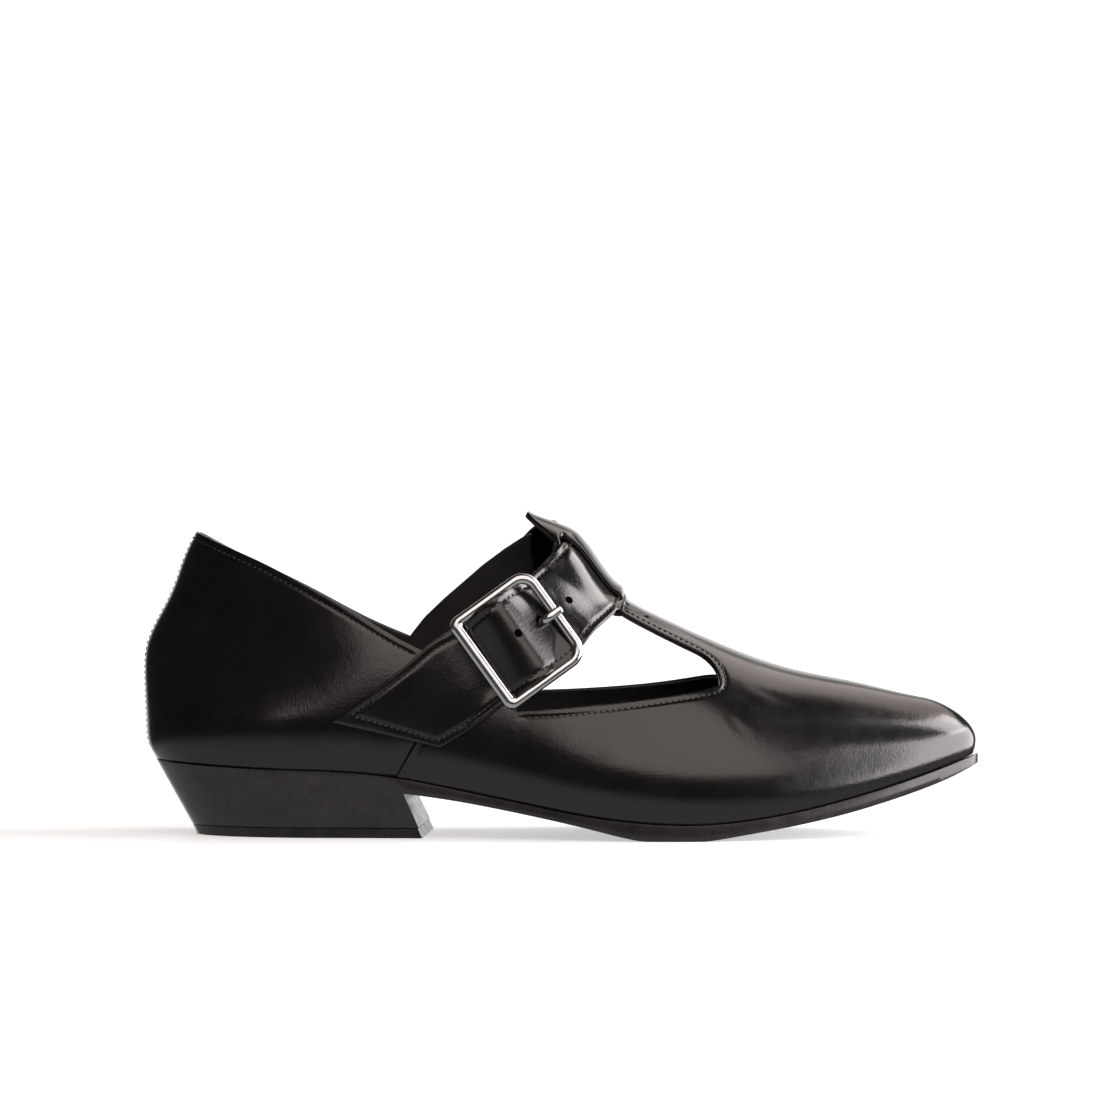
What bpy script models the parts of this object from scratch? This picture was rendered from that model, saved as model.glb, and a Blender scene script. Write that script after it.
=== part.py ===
"""T-strap shoe for a right foot: leather upper, buckled strap, moulded sole with heel, top piece and insole.

Sizes are in millimetres until the meshes are made. x runs from the back of the heel to the toe, the lateral
side is at -y and the floor is z = 0.
"""

import bisect
import math

import bpy
import numpy as np

# Overall
MM = 0.001
X_MIDDLE = 132.4
Y_MIDDLE = -0.05
GAP = 0.3
WALL = 1.8

# Last: one row for each section
LAST_ROWS = (
    # x, lateral, medial, ridge_y, ridge_z, fullness, bulge, bulge_rise
    (45, 26.5, 26.0, 0.0, 127.0, 1.65, 2.8, 19),
    (70, 27.0, 24.6, 0.0, 122.0, 1.60, 3.0, 16),
    (95, 28.0, 22.8, 0.0, 114.0, 1.50, 3.2, 14),
    (121, 31.0, 24.0, 0.0, 101.0, 1.42, 3.2, 13),
    (134, 33.5, 26.8, 0.0, 89.4, 1.38, 3.0, 12),
    (146, 35.6, 30.0, 0.2, 76.6, 1.38, 2.8, 12),
    (152, 36.5, 31.8, 0.4, 73.2, 1.40, 2.7, 12),
    (165, 37.5, 35.2, 0.8, 67.9, 1.45, 2.5, 11),
    (182, 36.0, 37.6, 1.6, 60.9, 1.60, 2.2, 10),
    (204, 29.6, 35.2, 3.0, 53.0, 1.90, 1.9, 9),
    (225, 20.6, 27.4, 4.0, 48.5, 2.25, 1.7, 8),
    (245, 11.0, 18.0, 4.0, 43.9, 2.30, 1.5, 7),
    (265, 4.0, 4.0, 4.0, 40.6, 2.30, 1.3, 6),
)
X_HEEL = 45.0
X_TOE = 225.0
TOE_TIP = (263.4, 4.0)
TOE_HANDLES = (19.0, 8.5)
TOE_RIDGE = 22.0
TOE_RIDGE_FADE = 2.36
BULGE_ROUND = 0.2
HEEL_ROUND = 0.6

# Back of the heel: height above the floor, distance in from the rearmost point
BACK_ROWS = (
    (22.0, 5.0), (24.5, 3.2), (28.0, 1.3), (34.0, 0.4), (44.0, 0.0), (53.0, -0.2), (59.0, 0.3),
    (64.0, 1.9), (70.0, 4.9), (78.0, 8.9), (87.0, 12.1), (96.0, 16.2),
)

# Sole edge: x, height of its top, height of its underside
SOLE_ROWS = (
    (3, 23.8, 17.6), (20, 22.7, 17.1), (43, 21.6, 16.4), (78, 19.6, 14.8), (99, 15.8, 12.2), (122, 11.2, 8.0),
    (144, 7.2, 3.3), (160, 5.5, -0.1), (176, 5.0, -0.3), (192, 6.2, 2.0), (208, 8.8, 4.7), (225, 12.8, 8.4),
    (241, 17.4, 13.0), (254, 21.8, 17.5), (265, 26.0, 22.3),
)
SOLE_EDGE = 0.8
SOLE_TOE_EDGE = 0.8
BREAST_TOP_X = 84.0
BREAST_FOOT_X = 88.5
HEEL_LEAN = 11.3
HEEL_LAST_TOP_X = 75.8
BREAST_SKEW = 2.8
HEEL_FOOT_WIDTH = 0.87
TOP_PIECE = 3.0
INSOLE_MARGIN = 2.7
INSOLE_THICK = 2.6

# Toplines: x, height
LATERAL_COLLAR = ((16.5, 95.9), (26, 91.3), (38.8, 85.2), (51.6, 78.4), (70, 68.0), (83.5, 59.8), (89.4, 56.9))
LATERAL_TAB = ((89.4, 56.9), (97, 64.0), (104, 69.5), (110, 72.0), (114.5, 66.5), (117, 56.0), (119.2, 40.4))
LATERAL_VAMP = ((119.2, 40.4), (132, 40.8), (146, 41.8), (160, 43.0), (170, 44.4), (182.4, 46.8))
MEDIAL_COLLAR = ((16.5, 95.9), (26, 90.2), (38.8, 83.7), (51.6, 77.2), (70, 67.4), (83.1, 61.8))
MEDIAL_WING = ((83.1, 61.8), (88, 68.0), (94.5, 74.2), (101, 79.8), (107, 85.0), (114, 90.2), (119.5, 93.8))
MEDIAL_WING += ((122.6, 95.4), (123.6, 80.0), (124.6, 44.4))
MEDIAL_VAMP = ((124.6, 44.4), (132, 44.6), (146, 45.4), (160, 46.6), (170, 48.0), (182.4, 50.2))
X_THROAT = 182.4
THROAT_ROUND = 9.0
THROAT_HEIGHT = 0.74

# T-bar: x, half width, lift of its middle over the strap, lift of its margins
BAR_ROWS = (
    (121.0, 6.6, 1.9, 1.9), (122.4, 8.4, 2.1, 2.1), (124.0, 9.2, 2.7, 2.7), (125.8, 9.8, 4.0, 0.0),
    (130.4, 10.6, 6.3, 0.0), (133.0, 10.6, 7.2, 0.0), (136.5, 10.6, 7.0, 0.0), (143.0, 10.4, 5.8, 0.0),
    (146.6, 10.4, 5.2, 0.2), (150.0, 10.4, 5.2, 0.3), (152.2, 10.4, 3.9, 0.6), (153.6, 10.4, 1.7, 1.7),
    (158.0, 11.2, 1.1, 0.4), (164.0, 12.6, 0.6, 0.0), (174.0, 14.9, 0.1, 0.0), (182.4, 16.0, 0.0, 0.0),
)
SLIT_X = (124.0, 153.6)
SLIT_Y = 7.8
BAR_OVER = 1.3

# Seam of vamp and quarter
SEAM_X = 88.6
SEAM_LEAN = 0.52
SEAM_LEAN_RISE = 14.0
SEAM_STEP = 0.6

# Strap: walked over the last from the middle of the buckle
BUCKLE_X = 119.6
BUCKLE_Z = 62.6
STRAP_SLOPE = 38.0
STRAP_WIDTH_ROWS = ((-70, 25.4), (0, 25.7), (11, 26.1), (16, 25.8), (32, 23.4), (110, 23.4))
STRAP_THICK = 2.0
STRAP_TAIL_SLANT = 24.0
STRAP_LIFT_ROWS = (
    # distance along, height of the strap's underside above the upper
    (-70, 0.35), (-20, 0.35), (-16.5, 0.4), (-13.5, 0.9), (-10.5, 2.0), (-7, 3.9), (-3, 5.5), (0, 5.8),
    (4, 5.2), (8, 3.5), (10.5, 1.7), (12.5, 0.6), (15, 0.35), (24, 0.6), (33, 1.2), (45, 1.3), (56, 1.2),
    (66, 0.6), (75, 0.4), (110, 0.4),
)
STRAP_TURN_ROWS = (
    # distance along, turn towards the heel in degrees for each millimetre
    (-70, 0.2), (2, 0.2), (8, 0.52), (14, 0.67), (40, 0.66), (55, 0.66), (59, 0.0), (64, -0.5), (110, -0.5),
)
STRAP_HOLES = ((0.6, 1.3), (9.8, 2.2), (20.6, 1.3))

# Buckle, in the plane of the upper under it
FRAME_LENGTH = 31.6
FRAME_WIDTH = 34.4
FRAME_HEIGHT = (2.8, 5.6)
FRAME_BARS = (3.8, 3.0, 2.9)
FRAME_CORNERS = (2.6, 6.0)
BAR_RADIUS = 1.2
BAR_HEIGHT = 2.45
PRONG_RADIUS = 0.8
PRONG_ROUTE = ((3.4, 3.3), (6.3, 2.4), (8.2, 2.7), (9.6, 4.3), (10.9, 6.2), (12.3, 7.0), (14.6, 7.0), (16.4, 6.8))
CHAPE_THICK = 0.9
CHAPE_WIDTH = 21.0
CHAPE_SLOT = 5.4
CHAPE_LENGTH = 9.0


def spline(rows):
    """Natural cubic spline through (x, value) rows, held at its end values beyond them."""
    x = [float(row[0]) for row in rows]
    y = [float(row[1]) for row in rows]
    count = len(x)
    matrix = np.eye(count)
    right = np.zeros(count)
    for i in range(1, count - 1):
        before = x[i] - x[i - 1]
        after = x[i + 1] - x[i]
        matrix[i, i - 1 : i + 2] = before, 2 * (before + after), after
        right[i] = 6 * ((y[i + 1] - y[i]) / after - (y[i] - y[i - 1]) / before)
    bend = np.linalg.solve(matrix, right)

    def value(at):
        at = min(max(at, x[0]), x[-1])
        i = min(max(bisect.bisect_right(x, at) - 1, 0), count - 2)
        step = x[i + 1] - x[i]
        a = (x[i + 1] - at) / step
        b = 1 - a
        curve = (a**3 - a) * bend[i] + (b**3 - b) * bend[i + 1]
        return a * y[i] + b * y[i + 1] + curve * step * step / 6

    return value


def linear(rows):
    """Straight lines through (x, value) rows."""
    x, y = zip(*rows)
    return lambda at: float(np.interp(at, x, y))


def column(rows, index):
    return spline([(row[0], row[index]) for row in rows])


EDGE_Y = {-1: column(LAST_ROWS, 1), 1: column(LAST_ROWS, 2)}
RIDGE_Y = column(LAST_ROWS, 3)
RIDGE_Z = column(LAST_ROWS, 4)
FULLNESS = column(LAST_ROWS, 5)
BULGE = column(LAST_ROWS, 6)
BULGE_RISE = column(LAST_ROWS, 7)
BACK_X = spline(BACK_ROWS)
SOLE_TOP = column(SOLE_ROWS, 1)
SOLE_UNDER = column(SOLE_ROWS, 2)
COLLAR = {-1: spline(LATERAL_COLLAR), 1: spline(MEDIAL_COLLAR)}
TAB = {-1: linear(LATERAL_TAB), 1: linear(MEDIAL_WING)}
VAMP = {-1: spline(LATERAL_VAMP), 1: spline(MEDIAL_VAMP)}
NOTCH_X = {-1: LATERAL_TAB[0][0], 1: MEDIAL_WING[0][0]}
TAB_END_X = {-1: LATERAL_TAB[-1][0], 1: MEDIAL_WING[-1][0]}
BAR_WIDTH = column(BAR_ROWS, 1)
BAR_MIDDLE_LIFT = linear([(row[0], row[2]) for row in BAR_ROWS])
BAR_MARGIN_LIFT = linear([(row[0], row[3]) for row in BAR_ROWS])
STRAP_LIFT = linear(STRAP_LIFT_ROWS)
STRAP_TURN = linear(STRAP_TURN_ROWS)
STRAP_WIDTH = linear(STRAP_WIDTH_ROWS)


def bezier(p0, p1, p2, p3, t):
    s = 1 - t
    return tuple(s**3 * a + 3 * s * s * t * b + 3 * s * t * t * c + t**3 * d for a, b, c, d in zip(p0, p1, p2, p3))


# The last's surface

def section(x, side):
    """Sizes of one half of the last's section: ridge y and z, reach of edge and bulge, heights, fullness."""
    ridge_y = RIDGE_Y(x)
    reach = EDGE_Y[side](x) - side * ridge_y
    foot = SOLE_TOP(x) + GAP
    return ridge_y, RIDGE_Z(x), reach, reach + BULGE(x), foot, foot + BULGE_RISE(x), FULLNESS(x)


def tuck(reach, widest, part):
    """Reach of the wall between its foot (part 0) and its bulge (part 1)."""
    return reach + (widest - reach) * (1 - (1 - part) ** 2)


def crown_reach(rise, fullness):
    """Reach of the section above its bulge, as a part of its widest, at a rise of 0 (bulge) to 1 (ridge)."""
    low = BULGE_ROUND**fullness
    full = (1 + BULGE_ROUND**2) ** (fullness / 2) - low
    return math.sqrt(max(0.0, 1 - ((rise * rise + BULGE_ROUND**2) ** (fullness / 2) - low) / full))


def crown_rise(reach, fullness):
    """Rise of the section at a reach: the other way round from crown_reach."""
    low = BULGE_ROUND**fullness
    full = (1 + BULGE_ROUND**2) ** (fullness / 2) - low
    return math.sqrt(max(0.0, ((1 - reach * reach) * full + low) ** (2 / fullness) - BULGE_ROUND**2))


def wall_y(x, z, side):
    """y of the last's side at a height."""
    ridge_y, ridge_z, reach, widest, foot, bulge_z, fullness = section(x, side)
    if z < bulge_z:
        across = tuck(reach, widest, max(0.0, (z - foot) / (bulge_z - foot)))
    else:
        across = widest * crown_reach(min(1.0, (z - bulge_z) / (ridge_z - bulge_z)), fullness)
    return ridge_y + side * across


def last_point(x, m):
    """Point of the last: m is 0 on the ridge and 1 at the bulge, negative on the lateral side."""
    side = -1 if m < 0 else 1
    ridge_y, ridge_z, reach, widest, foot, bulge_z, fullness = section(x, side)
    across_m = abs(m)
    if across_m <= 1:
        rise = 1 - across_m**2
        across = widest * crown_reach(rise, fullness)
        z = bulge_z + (ridge_z - bulge_z) * rise
    else:
        z = bulge_z - 2 * (ridge_z - bulge_z) * (across_m - 1)
        across = tuck(reach, widest, (z - foot) / (bulge_z - foot))
    return np.array((x, ridge_y + side * across, z))


def m_at_height(x, z, side):
    """The last's m at a height on one side."""
    _, ridge_z, _, _, _, bulge_z, _ = section(x, side)
    rise = (z - bulge_z) / (ridge_z - bulge_z)
    return side * (math.sqrt(max(0.0, 1 - rise)) if rise > 0 else 1 - rise / 2)


def last_normal(x, m):
    """Outward normal of the last."""
    step_x = last_point(x + 0.2, m) - last_point(x - 0.2, m)
    step_m = last_point(x, m + 0.004) - last_point(x, m - 0.004)
    normal = np.cross(step_x, step_m)
    return normal / np.linalg.norm(normal)


def toe_edge(t, side):
    """Edge of the last from its side (t 0) to the tip of the toe (t 1)."""
    start = (X_TOE, side * EDGE_Y[side](X_TOE))
    slope = side * (EDGE_Y[side](X_TOE + 1) - EDGE_Y[side](X_TOE - 1)) / 2
    length = math.hypot(1, slope)
    along, in_from_side = TOE_HANDLES
    first = (start[0] + along / length, start[1] + along * slope / length)
    second = (TOE_TIP[0], TOE_TIP[1] + side * in_from_side)
    return bezier(start, first, second, TOE_TIP, t)


def toe_ridge_x(t):
    """x where the toe's column at t meets the ridge."""
    return X_TOE + TOE_RIDGE * (1 - (1 - t) ** TOE_RIDGE_FADE)


def toe_point(t, m, side):
    """Point of the toe, in the upright plane through its edge and its ridge at t."""
    pivot = (toe_ridge_x(t), RIDGE_Y(toe_ridge_x(t)))
    edge = toe_edge(t, side)
    reach = math.dist(edge, pivot)
    towards = ((edge[0] - pivot[0]) / reach, (edge[1] - pivot[1]) / reach)
    foot = SOLE_TOP(edge[0]) + GAP
    bulge_z = foot + BULGE_RISE(edge[0])
    widest = reach + BULGE(edge[0])
    if m <= 1:
        rise = 1 - m * m
        across = widest * crown_reach(rise, FULLNESS(pivot[0]))
        z = bulge_z + (RIDGE_Z(pivot[0] + across * towards[0]) - bulge_z) * rise
    else:
        part = 1 - (m - 1)
        across = tuck(reach, widest, part)
        z = foot + (bulge_z - foot) * part
    return np.array((pivot[0] + across * towards[0], pivot[1] + across * towards[1], z))


def heel_point(t, z, side):
    """Point of the heel at a height, from its side (t 0) to the middle of the back (t 1)."""
    start = (X_HEEL, wall_y(X_HEEL, z, side))
    slope = (wall_y(X_HEEL + 1, z, side) - wall_y(X_HEEL - 0.001, z, side)) / 1.001
    back = BACK_X(z)
    depth = HEEL_ROUND * (X_HEEL - back)
    first = (start[0] - depth, start[1] - depth * slope)
    second = (back, HEEL_ROUND * start[1])
    x, y = bezier(start, first, second, (back, 0.0), t)
    return np.array((x, y, z))


# Meshes

class Sheet:
    """Points and faces of an open surface, thickened inwards into one closed solid."""

    def __init__(self):
        self.points = []
        self.thick = []
        self.faces = []

    def add(self, point, thick=WALL):
        self.points.append(np.asarray(point, float))
        self.thick.append(thick)
        return len(self.points) - 1

    def strip(self, first, second):
        """Faces between two rows of equal length, leaving out those that collapse."""
        for i in range(len(first) - 1):
            face = []
            for index in (first[i], second[i], second[i + 1], first[i + 1]):
                if index not in face:
                    face.append(index)
            if len(face) > 2:
                self.faces.append(face)

    def normals(self):
        total = np.zeros((len(self.points), 3))
        points = np.array(self.points)
        for face in self.faces:
            corners = points[face]
            total[face] += np.cross(corners, np.roll(corners, -1, axis=0)).sum(axis=0)
        return total / np.linalg.norm(total, axis=1)[:, None]

    def solid(self):
        """Points and faces of the closed solid."""
        outer = np.array(self.points)
        inner = outer - self.normals() * np.array(self.thick)[:, None]
        count = len(outer)
        faces = list(self.faces)
        edges = {}
        for face in self.faces:
            faces.append([index + count for index in reversed(face)])
            for i, index in enumerate(face):
                edges[(index, face[(i + 1) % len(face)])] = True
        for first, second in edges:
            if (second, first) not in edges:
                faces.append([second, first, first + count, second + count])
        return np.concatenate([outer, inner]), faces


def make_object(name, points, faces, material):
    """One named mesh object from points in millimetres."""
    mesh = bpy.data.meshes.new(name)
    placed = (np.asarray(points) - (X_MIDDLE, Y_MIDDLE, 0.0)) * MM
    mesh.from_pydata(placed.tolist(), [], [list(map(int, face)) for face in faces])
    mesh.materials.append(material)
    obj = bpy.data.objects.new(name, mesh)
    bpy.context.scene.collection.objects.link(obj)
    return obj


def make_material(name, colour, roughness, metallic=0.0):
    material = bpy.data.materials.new(name)
    material.use_nodes = True
    shader = material.node_tree.nodes["Principled BSDF"]
    shader.inputs["Base Color"].default_value = (*colour, 1.0)
    shader.inputs["Roughness"].default_value = roughness
    shader.inputs["Metallic"].default_value = metallic
    return material


def combine(target, helper, operation):
    """Boolean of a target object with a helper that isn't rendered."""
    helper.hide_render = True
    helper.display_type = "WIRE"
    modifier = target.modifiers.new(helper.name, "BOOLEAN")
    modifier.operation = operation
    modifier.solver = "EXACT"
    modifier.object = helper


def loft(rings):
    """Closed solid through rings of equal point count, with flat ends."""
    count = len(rings[0])
    points = np.concatenate([np.asarray(ring, float) for ring in rings])
    faces = [list(range(count))[::-1], list(range(len(points) - count, len(points)))]
    for i in range(len(rings) - 1):
        for k in range(count):
            after = (k + 1) % count
            faces.append([i * count + k, i * count + after, (i + 1) * count + after, (i + 1) * count + k])
    return points, faces


# Upper

LOW_PARTS = (0.0, 0.07, 0.18, 0.34, 0.54, 0.77)
HIGH_PARTS = (0.0, 0.3, 0.65, 1.0)
LOW_RISE = 24.0
BAR_PARTS = (1.0, 0.5, 0.0)
MIDDLE_PARTS = (1.0, 0.68, 0.35)
TOE_STEPS = 11
HEEL_STEPS = 10
FRONT_X = (216.0, 207.0, 199.0, 192.0, 187.0, 184.0)
OPEN_X = (181.9, 180.6, 178.5, 175.5, 171.0, 165.0, 158.0, 151.0, 144.0, 137.0, 131.0, 126.5)
TAB_X = {
    -1: (119.2, 117.9, 116.0, 113.0, 110.0, 105.0, 100.0, 95.0),
    1: (124.6, 124.1, 123.6, 122.6, 119.5, 114.0, 107.0, 101.0, 94.5, 88.0),
}
COLLAR_X = {-1: (89.4, 88.6, 86.0, 82.0, 77.0, 71.0, 64.0, 57.0, 51.0), 1: (83.1, 77.0, 71.0, 64.0, 57.0, 51.0)}
BAR_X = (179.0, 175.0, 170.0, 164.0, 158.0) + tuple(row[0] for row in BAR_ROWS[11::-1])


def topline(x, side):
    """Height of the wall's top edge behind the throat."""
    if x <= NOTCH_X[side]:
        return COLLAR[side](x)
    if x <= TAB_END_X[side]:
        return TAB[side](x)
    slit = throat_height(side)
    near = min(1.0, (X_THROAT - x) / THROAT_ROUND)
    return slit + (VAMP[side](x) - slit) * math.sqrt(1 - (1 - near) ** 2)


def throat_height(side):
    _, ridge_z, _, _, _, bulge_z, _ = section(X_THROAT, side)
    return bulge_z + (ridge_z - bulge_z) * THROAT_HEIGHT


def seam_shift(x, z, foot):
    """How far a wall column leans back below, so that one of them is the seam of vamp and quarter."""
    near = math.exp(-(((x - SEAM_X) / 13) ** 2))
    return -SEAM_LEAN * near * max(0.0, SEAM_LEAN_RISE - (z - foot))


def seam_step(x, z, side):
    """The quarter sinks under the vamp's folded edge at the seam."""
    if side > 0 or x > SEAM_X + 0.01 or x < SEAM_X - 25:
        return 0.0
    fade = min(1.0, max(0.0, (52 - z) / 10))
    return SEAM_STEP * fade * math.exp(-(SEAM_X - x) / 5)


def wall_rises(height):
    """Rises of the wall's rows above its foot. The lower rows keep to the same rises along the shoe."""
    low = min(LOW_RISE, 0.7 * height)
    return [low * part for part in LOW_PARTS] + [low + (height - low) * part for part in HIGH_PARTS]


def wall_column(sheet, x, side, top):
    """Points of the wall at x, from its foot to the height of its top."""
    foot = SOLE_TOP(x) + GAP
    column_points = []
    for rise in wall_rises(top - foot):
        at = x + seam_shift(x, foot + rise, foot)
        z = SOLE_TOP(at) + GAP + rise
        z = min(z, top)
        y = wall_y(at, z, side) - side * seam_step(x, z, side)
        column_points.append(sheet.add((at, y, z)))
    return column_points


def toe_column(sheet, t, side):
    """Points of the toe at t, from its foot up to the line that runs out from the throat."""
    edge = toe_edge(t, side)
    bulge = BULGE_RISE(edge[0])
    height = bulge + (RIDGE_Z(toe_ridge_x(t)) - SOLE_TOP(edge[0]) - GAP - bulge) * THROAT_HEIGHT
    column_points = []
    for rise in wall_rises(height):
        if rise < bulge:
            m = 2 - rise / bulge
        else:
            m = math.sqrt(1 - THROAT_HEIGHT * (rise - bulge) / (height - bulge))
        column_points.append(sheet.add(toe_point(t, m, side)))
    return column_points


def heel_column(sheet, t, side):
    """Points of the heel at t, from its foot to its topline."""
    foot = SOLE_TOP(heel_point(t, 23.0, side)[0]) + GAP
    top = COLLAR[side](X_HEEL)
    for _ in range(4):
        top = COLLAR[side](heel_point(t, top, side)[0])
    return [sheet.add(heel_point(t, foot + rise, side)) for rise in wall_rises(top - foot)]


def crown_parts():
    """Parts of the way from the ridge to the line of the throat, for the rows of the vamp's crown."""
    margin = [0.6 + 0.4 * part for part in BAR_PARTS]
    return margin[1:] + [0.6 * part for part in MIDDLE_PARTS[1:]]


def build_upper(material):
    """The upper: walls all round, the vamp's crown, and the T-bar with its slits and end tab."""
    sheet = Sheet()
    edge_m = math.sqrt(1 - THROAT_HEIGHT)
    toe_steps = [i / TOE_STEPS for i in range(TOE_STEPS, 0, -1)]
    front = (X_TOE,) + FRONT_X + (X_THROAT,)
    tip = toe_column(sheet, 1.0, -1)
    walls = {}
    crowns = {}
    toe_ridge = [sheet.add(last_point(toe_ridge_x(t), 0.0)) for t in toe_steps]
    ridge = [sheet.add(last_point(x, 0.0)) for x in front]
    tip_crown = [sheet.add(toe_point(1.0, edge_m * part, -1)) for part in crown_parts()]
    back = heel_column(sheet, 1.0, -1)
    for side in (-1, 1):
        columns = [tip] + [toe_column(sheet, t, side) for t in toe_steps[1:]]
        crown = [[tip[-1]] + tip_crown + [toe_ridge[0]]]
        for t, wall, top in zip(toe_steps[1:], columns[1:], toe_ridge[1:]):
            tops = [sheet.add(toe_point(t, edge_m * part, side)) for part in crown_parts()]
            crown.append([wall[-1]] + tops + [top])
        for x, top in zip(front, ridge):
            _, ridge_z, _, _, _, bulge_z, _ = section(x, side)
            columns.append(wall_column(sheet, x, side, bulge_z + (ridge_z - bulge_z) * THROAT_HEIGHT))
            tops = [sheet.add(last_point(x, side * edge_m * part)) for part in crown_parts()]
            crown.append([columns[-1][-1]] + tops + [top])
        for x in OPEN_X + TAB_X[side] + COLLAR_X[side] + (X_HEEL,):
            columns.append(wall_column(sheet, x, side, topline(x, side)))
        columns += [heel_column(sheet, i / HEEL_STEPS, side) for i in range(1, HEEL_STEPS)] + [back]
        walls[side] = columns
        crowns[side] = crown
    for side in (-1, 1):
        for grid in (walls[side], crowns[side]):
            for first, second in zip(grid, grid[1:]):
                sheet.strip(*((second, first) if side < 0 else (first, second)))
    add_bar(sheet, crowns)
    return make_object("upper", *sheet.solid(), material)


def add_bar(sheet, crowns):
    """Rows of the T-bar behind the throat. Two slits part its margins from its middle, which passes over the strap."""
    rows = {-1: [crowns[-1][-1]], 1: [crowns[1][-1]]}
    split = {-1: [crowns[-1][-1][2]], 1: [crowns[1][-1][2]]}
    for x in BAR_X:
        near = min(1.0, (X_THROAT - x) / THROAT_ROUND)
        in_slit = SLIT_X[0] < x < SLIT_X[1]
        thick = BAR_OVER if in_slit else WALL
        top = sheet.add(bar_point(x, 0.0, BAR_MIDDLE_LIFT(x)), thick)
        for side in (-1, 1):
            throat_y = abs(last_point(X_THROAT, side * math.sqrt(1 - THROAT_HEIGHT))[1] - RIDGE_Y(X_THROAT))
            half = throat_y + (BAR_WIDTH(x) - throat_y) * math.sqrt(1 - (1 - near) ** 2)
            slit = min(SLIT_Y, 0.72 * half) if x < 160 else half * (0.72 - 0.12 * min(1.0, (x - 160) / 20))
            margin = [slit + (half - slit) * part for part in BAR_PARTS]
            middle = [slit * part for part in MIDDLE_PARTS]
            lift = BAR_MARGIN_LIFT(x)
            outer = [sheet.add(bar_point(x, side * y, lift)) for y in margin]
            lift = BAR_MIDDLE_LIFT(x)
            inner = [outer[-1]] if not in_slit else [sheet.add(bar_point(x, side * middle[0], lift), thick)]
            inner += [sheet.add(bar_point(x, side * y, lift), thick) for y in middle[1:]]
            rows[side].append(outer + inner[1:] + [top])
            split[side].append(inner[0])
    for side in (-1, 1):
        for k in range(len(BAR_X)):
            first, second = rows[side][k], rows[side][k + 1]
            outer = (first[:3], second[:3])
            inner = ([split[side][k]] + first[3:], [split[side][k + 1]] + second[3:])
            for a, b in (outer, inner):
                sheet.strip(*((b, a) if side < 0 else (a, b)))


def bar_point(x, y_from_ridge, lift):
    """Point of the T-bar at a distance from the ridge, lifted off the last."""
    side = -1 if y_from_ridge < 0 else 1
    ridge_y, ridge_z, _, widest, _, bulge_z, fullness = section(x, side)
    rise = crown_rise(abs(y_from_ridge) / widest, fullness)
    m = side * math.sqrt(max(0.0, 1 - rise))
    return last_point(x, m) + lift * last_normal(x, m)


# Sole, top piece and insole

SOLE_SIDE_X = (53.0, 61.0, 69.0, HEEL_LAST_TOP_X)
SOLE_FRONT_X = (86.0, 92.0, 99.0, 107.0, 116.0, 125.0, 134.0, 143.0, 150.0, 156.0, 160.5, 168.0, 176.5)
SOLE_FRONT_X += (183.0, 190.0, 198.0, 207.0, 216.0)


def edge_stations(side):
    """Points (x, y) of the upper's foot line from the back of the heel to the toe."""
    points = [tuple(heel_point(1 - i / 8, SOLE_TOP(20) + GAP, side)[:2]) for i in range(8)]
    points += [(x, side * EDGE_Y[side](x)) for x in (X_HEEL,) + SOLE_SIDE_X + SOLE_FRONT_X]
    points += [toe_edge(i / 9, side) for i in range(10)]
    return points


def offset(points, distance, side):
    """An edge moved outwards. Its first and last points stay on the middle line."""
    moved = []
    for i, (x, y) in enumerate(points):
        before = points[max(i - 1, 0)]
        after = points[min(i + 1, len(points) - 1)]
        run = (after[0] - before[0], after[1] - before[1])
        if i == 0:
            run = (0.0, side)
        if i == len(points) - 1:
            run = (0.0, -side)
        length = math.hypot(*run)
        moved.append((x - side * distance * run[1] / length, y + side * distance * run[0] / length))
    return moved


def ladder(lateral, medial):
    """Closed solid from columns of equal length down both sides, which share their first and last column."""
    count = len(lateral[0])
    ring = lateral + medial[-2:0:-1]
    points = [point for one in ring for point in one]
    total = len(ring)
    faces = []
    for k in range(total):
        after = (k + 1) % total
        for row in range(count - 1):
            faces.append([k * count + row, k * count + row + 1, after * count + row + 1, after * count + row])
    for row, turn in ((0, 1), (count - 1, -1)):
        for k in range(len(lateral) - 1):
            face = []
            for index in (k, k + 1, (total - k - 1) % total, (total - k) % total):
                if index * count + row not in face:
                    face.append(index * count + row)
            faces.append(face[::turn])
    return points, faces


def skew(y):
    """How much further forward the heel's breast is at y than on the lateral side."""
    return BREAST_SKEW * (y + 27) / 54


def heel_foot(x, y):
    """Point of the heel's underside below a point of the sole's edge."""
    lean = HEEL_LEAN + (BREAST_FOOT_X - HEEL_LAST_TOP_X - HEEL_LEAN) * x / HEEL_LAST_TOP_X
    return x + lean + skew(y) * (x / HEEL_LAST_TOP_X) ** 2, y * HEEL_FOOT_WIDTH


def sole_columns(side):
    """Columns of the sole's side from top to underside, heel first."""
    stations = edge_stations(side)
    edge = offset(stations, SOLE_EDGE, side)
    low = offset(stations, SOLE_EDGE - 0.7, side)
    columns = []
    for (x, y), (low_x, low_y) in zip(edge, low):
        top = SOLE_TOP(x)
        if x <= HEEL_LAST_TOP_X + 1:
            foot_x, foot_y = heel_foot(x, y)
            foot = TOP_PIECE + GAP
            parts = (0.0, 0.07, 0.3, 0.65, 1.0)
            one = [(x + (foot_x - x) * p, y + (foot_y - y) * p, top + (foot - top) * p) for p in parts]
        else:
            under = max(0.0, SOLE_UNDER(x))
            shift = BREAST_TOP_X - x + skew(y) if x < 88 else 0.0
            ahead = SOLE_TOE_EDGE * max(0.0, (x - 240) / 25) ** 2
            one = [(x + ahead, y, top), (x + ahead, y, top - 1.2), (x + ahead, y, (top + under) / 2)]
            one += [(x + ahead, y, under + 0.9), (low_x + ahead + shift, low_y, under)]
        columns.append(one)
    return columns


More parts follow.
